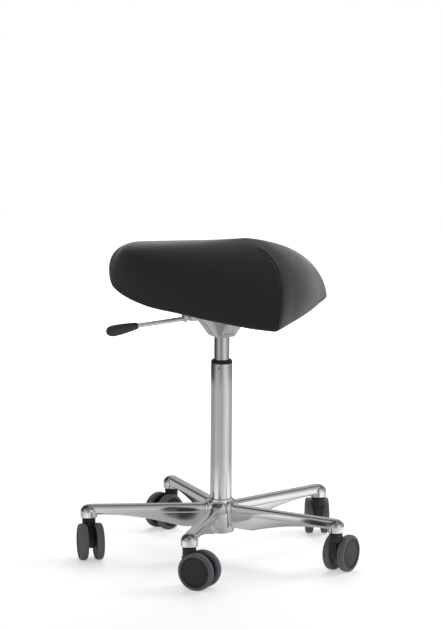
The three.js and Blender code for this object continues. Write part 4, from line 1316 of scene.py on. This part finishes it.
def make_saddle():
    rows, columns, rim_row = saddle_rows()
    at_board = column + Vector((0, 0, board_z))
    both = [[Vector((-p.x, p.y, p.z)) for p in reversed(row[1:])] + row for row in rows]
    saddle = skin("seat_cushion_upholstered", [[tuple(p + at_board) for p in row] for row in both])
    seam_column = columns.index(("flank", 1.0))
    seam = [row[seam_column] + at_board for row in rows[rim_row - 4:]]
    tidy_skin(saddle)
    parts = 12
    sewn = KDTree(2 * len(seam) * parts)
    for way in (1, -1):
        for step, (start, end) in enumerate(zip(seam, seam[1:])):
            for i in range(parts):
                p = start.lerp(end, i / parts) - column
                sewn.insert(column + Vector((p.x * way, p.y, p.z)), len(seam) - step)
    sewn.balance()
    pinned = {}
    for vertex in saddle.data.vertices:
        y = vertex.co.y - column.y
        above = vertex.co.z - board_z - eased_table(rim_heights, y)
        held = 1 - min(1, max(0, above / (18 * mm)))
        near = sewn.find(vertex.co)[2]
        pinned[vertex.index] = max(held, 0.97 * (1 - min(1, near / (9 * mm))), 0.0)
    inflate(saddle, pinned, swell_cap)
    normals = [vertex.normal.copy() for vertex in saddle.data.vertices]
    for vertex, normal in zip(saddle.data.vertices, normals):
        _, from_ridge, near = sewn.find(vertex.co)
        if near < seam_relief[-1][0]:
            depth = min(1, max(0, (from_ridge - flat_seam) / flat_seam))
            vertex.co += normal * (eased_table(seam_relief, near) * depth)
    saddle.data.update()
    finer = saddle.modifiers.new("finer", "SUBSURF")
    finer.levels = finer.render_levels = 1
    pick(saddle)
    bpy.ops.object.modifier_apply(modifier=finer.name)
    return smooth(saddle, 60), seam


def seam_line(part, count=160):
    """Points on one panel beside the right-hand seam, where its stitches run."""
    line = []
    for i in range(count + 1):
        t = 0.02 + 0.78 * i / count
        side, seam_s = ("flank", 1.0) if part == "flank" else ("rear", 0.0)
        step = -0.01 if part == "flank" else 0.01
        here = curve_point(*saddle_profile(side, seam_s)[1:], t)
        beside = curve_point(*saddle_profile(side, seam_s + step)[1:], t)
        along = curve_point(*saddle_profile(side, seam_s)[1:], t + 0.005) - here
        run = beside - here
        square = run - along * (run.dot(along) / along.length_squared)
        share = stitch_out / square.length
        line.append(curve_point(*saddle_profile(side, seam_s + step * share)[1:], t))
    return line


def evenly(line, pitch):
    """Points along a line, a pitch apart, each with the way that the line runs there."""
    spots, left = [], pitch / 2
    for start, end in zip(line, line[1:]):
        run = end - start
        while left <= run.length:
            spots.append((start + run.normalized() * left, run.normalized()))
            left += pitch
        left -= run.length
    return spots


def make_stitches(saddle):
    """Twin rows of thread, one on each side of each seam, sunk into the cover."""
    deselect()
    bpy.ops.mesh.primitive_uv_sphere_add(segments=8, ring_count=6, radius=0.5)
    pattern = bpy.context.object
    pattern.data.transform(Matrix.Diagonal((stitch_long, stitch_thick, stitch_thick, 1)))
    surface = BVHTree.FromObject(saddle, bpy.context.evaluated_depsgraph_get())
    thread = bmesh.new()
    for part in ("flank", "rear"):
        for way in (1, -1):
            for place, run in evenly(seam_line(part), stitch_pitch):
                at = column + Vector((place.x * way, place.y, place.z + board_z))
                along = Vector((run.x * way, run.y, run.z))
                on, normal, *_ = surface.find_nearest(at)
                across = normal.cross(along).normalized()
                along = across.cross(normal)
                turn = Matrix((along, across, normal)).transposed().to_4x4()
                stitch = pattern.data.copy()
                stitch.transform(Matrix.Translation(on + normal * (0.1 * mm)) @ turn)
                thread.from_mesh(stitch)
                bpy.data.meshes.remove(stitch)
    pattern.name = "seam_stitching"
    thread.to_mesh(pattern.data)
    thread.free()
    pattern.data.update()
    return smooth(pattern, 60)


def wool_cover():
    """Close wool-like cloth: a fine weave, flecks of lighter fibre, and a soft nap."""
    finish = Finish(
        "saddle_fabric", tone(57, 55, 52), 0.92, 0.0,
        **{"Sheen Weight": 0.8, "Sheen Roughness": 0.3, "Specular IOR Level": 0.25},
    )
    pitch = 1.1 * mm
    parts = parts_of(finish, finish.place)
    weights = parts_of(finish, finish.add("ShaderNodeTexCoord", output=1))
    waves = [finish.math_of("SINE", part * (2 * pi / pitch)) for part in parts]
    weave = 0.5
    for i in range(3):
        across, along = waves[(i + 1) % 3], waves[(i + 2) % 3]
        weave = across * along * weights[i] * weights[i] * 0.5 + weave
    flecks = finish.noise(0.7 * mm, 3.0)
    cloud = finish.noise(26 * mm, 3.0)
    finish.vary_colour(weave * 0.35 + flecks * 0.45 + cloud * 0.2, tone(44, 42, 39), tone(70, 68, 64))
    finish.feed("Roughness", flecks * 0.12 + 0.84)
    finish.emboss(weave * 0.6 + flecks * 0.4, 0.16 * mm, 0.45)
    return finish.material


def thread_finish():
    """Bonded thread: a fine mottled twist over each stitch, with a slight gloss."""
    finish = Finish("seam_thread", tone(52, 50, 48), 0.6)
    twist = finish.noise(0.35 * mm, 1.0)
    finish.vary_colour(twist, tone(42, 41, 39), tone(70, 68, 65))
    finish.emboss(twist, 0.08 * mm, 0.6)
    return finish.material


saddle, seam = make_saddle()
dress(saddle, "seat", "saddle_fabric", wool_cover(), "seat_cushion")
dress(make_stitches(saddle), "seat", "saddle_fabric", thread_finish())

# Underside cover: one piece of thin black lining cloth, cut round the bracket, pulled flat
# under the board over the hem of the saddle's cover, and held there by a ring of staples.
lining_inset = 33 * mm
lining_thick = 0.5 * mm
hem_reach = 4 * mm
opening_half = plate_half + 0.8 * mm
opening_corner = plate_corner
staple_count = 13  # on each side
staple_long = 9 * mm
staple_wire = 1.1 * mm


def opening_point(way):
    """Where a line from the column's axis meets the edge of the opening for the bracket."""
    reach = opening_half / max(abs(way.x), abs(way.y))
    point = way * reach
    flat = opening_half - opening_corner
    if abs(point.x) > flat and abs(point.y) > flat:
        centre = Vector((flat if point.x > 0 else -flat, flat if point.y > 0 else -flat))
        along = way.dot(centre)
        point = way * (along + sqrt(along**2 - centre.length_squared + opening_corner**2))
    return point


def lining_height(y, share):
    """The lining's height: over the hem at its edge, and close under the board inside it."""
    inner = min(1, max(0, share * 9 - 0.5))
    return board_lift(y) - 1.75 * mm + (1.3 * mm) * inner * inner * (3 - 2 * inner)


def make_lining():
    columns = [("nose", i / 14) for i in range(14)] + [("flank", i / 30) for i in range(30)]
    columns += [("rear", i / 20) for i in range(21)]
    edge = sawn_edge(lining_inset)
    corner = board_lengths["nose"] + board_lengths["flank"]
    for beside in (-1, 1):
        edge[corner + beside] = edge[corner].lerp(edge[corner + 2 * beside], 0.5)
    half = [edge_point(edge, part, s) for part, s in columns]
    outer = [Vector((-p.x, p.y)) for p in reversed(half[1:])] + half
    rings = 22
    rows = []
    for j in range(rings + 1):
        share = (j / rings) ** 1.6
        row = []
        for p in outer:
            q = p.lerp(opening_point(p.normalized()), share)
            row.append(tuple(column + Vector((q.x, q.y, board_z + lining_height(q.y, share)))))
        rows.append(row)
    lining = skin("underside_lining", rows)
    tidy_skin(lining)
    area = sum(face.area for face in lining.data.polygons)
    wall = lining.modifiers.new("wall", "SOLIDIFY")
    wall.thickness = lining_thick
    wall.offset = 0
    pick(lining)
    bpy.ops.object.modifier_apply(modifier=wall.name)
    return smooth(lining, 50), area, half


def lining_cloth():
    """Thin non-woven lining: a dotted bond pattern and loose fibres."""
    finish = Finish("lining_fabric", tone(38, 38, 39), 0.95, 0.0, **{"Sheen Weight": 0.1})
    fibres = finish.noise(0.6 * mm, 4.0, (1, 0.3, 1))
    parts = parts_of(finish, finish.place, 2)
    dots = [finish.math_of("SINE", part * (2 * pi / (2.4 * mm))) for part in parts]
    bond = dots[0] * dots[1] * 0.5 + 0.5
    finish.vary_colour(fibres * 0.6 + bond * 0.4, tone(28, 28, 29), tone(54, 54, 56))
    finish.emboss(bond * 0.6 + fibres * 0.4, 0.1 * mm, 0.5)
    return finish.material


def make_staples(half):
    """Wire staples through the lining's edge, each lying along it."""
    line = [Vector((p.x, p.y, 0)) * 0.975 for p in half]
    length = sum((b - a).length for a, b in zip(line, line[1:]))
    deselect()
    bpy.ops.mesh.primitive_cylinder_add(vertices=10, radius=staple_wire / 2, depth=staple_long)
    pattern = bpy.context.object
    pattern.data.transform(Matrix.Rotation(pi / 2, 4, "Y"))
    soften(pattern, staple_wire / 4, 50, 2)
    wire = bmesh.new()
    for way in (1, -1):
        for place, run in evenly(line, length / staple_count):
            turn = Matrix.Rotation(atan2(run.y, run.x * way), 4, "Z")
            height = board_z + board_lift(place.y) - 1.95 * mm
            at = column + Vector((place.x * way, place.y, height))
            staple = pattern.data.copy()
            staple.transform(Matrix.Translation(at) @ turn)
            wire.from_mesh(staple)
            bpy.data.meshes.remove(staple)
    pattern.name = "lining_staples"
    wire.to_mesh(pattern.data)
    wire.free()
    pattern.data.update()
    return smooth(pattern, 40)


lining, lining_area, lining_half = make_lining()
dress(lining, "seat", "lining_fabric", lining_cloth(), "underside_cover")
dress(make_staples(lining_half), "seat", "plain_steel", plain_steel)
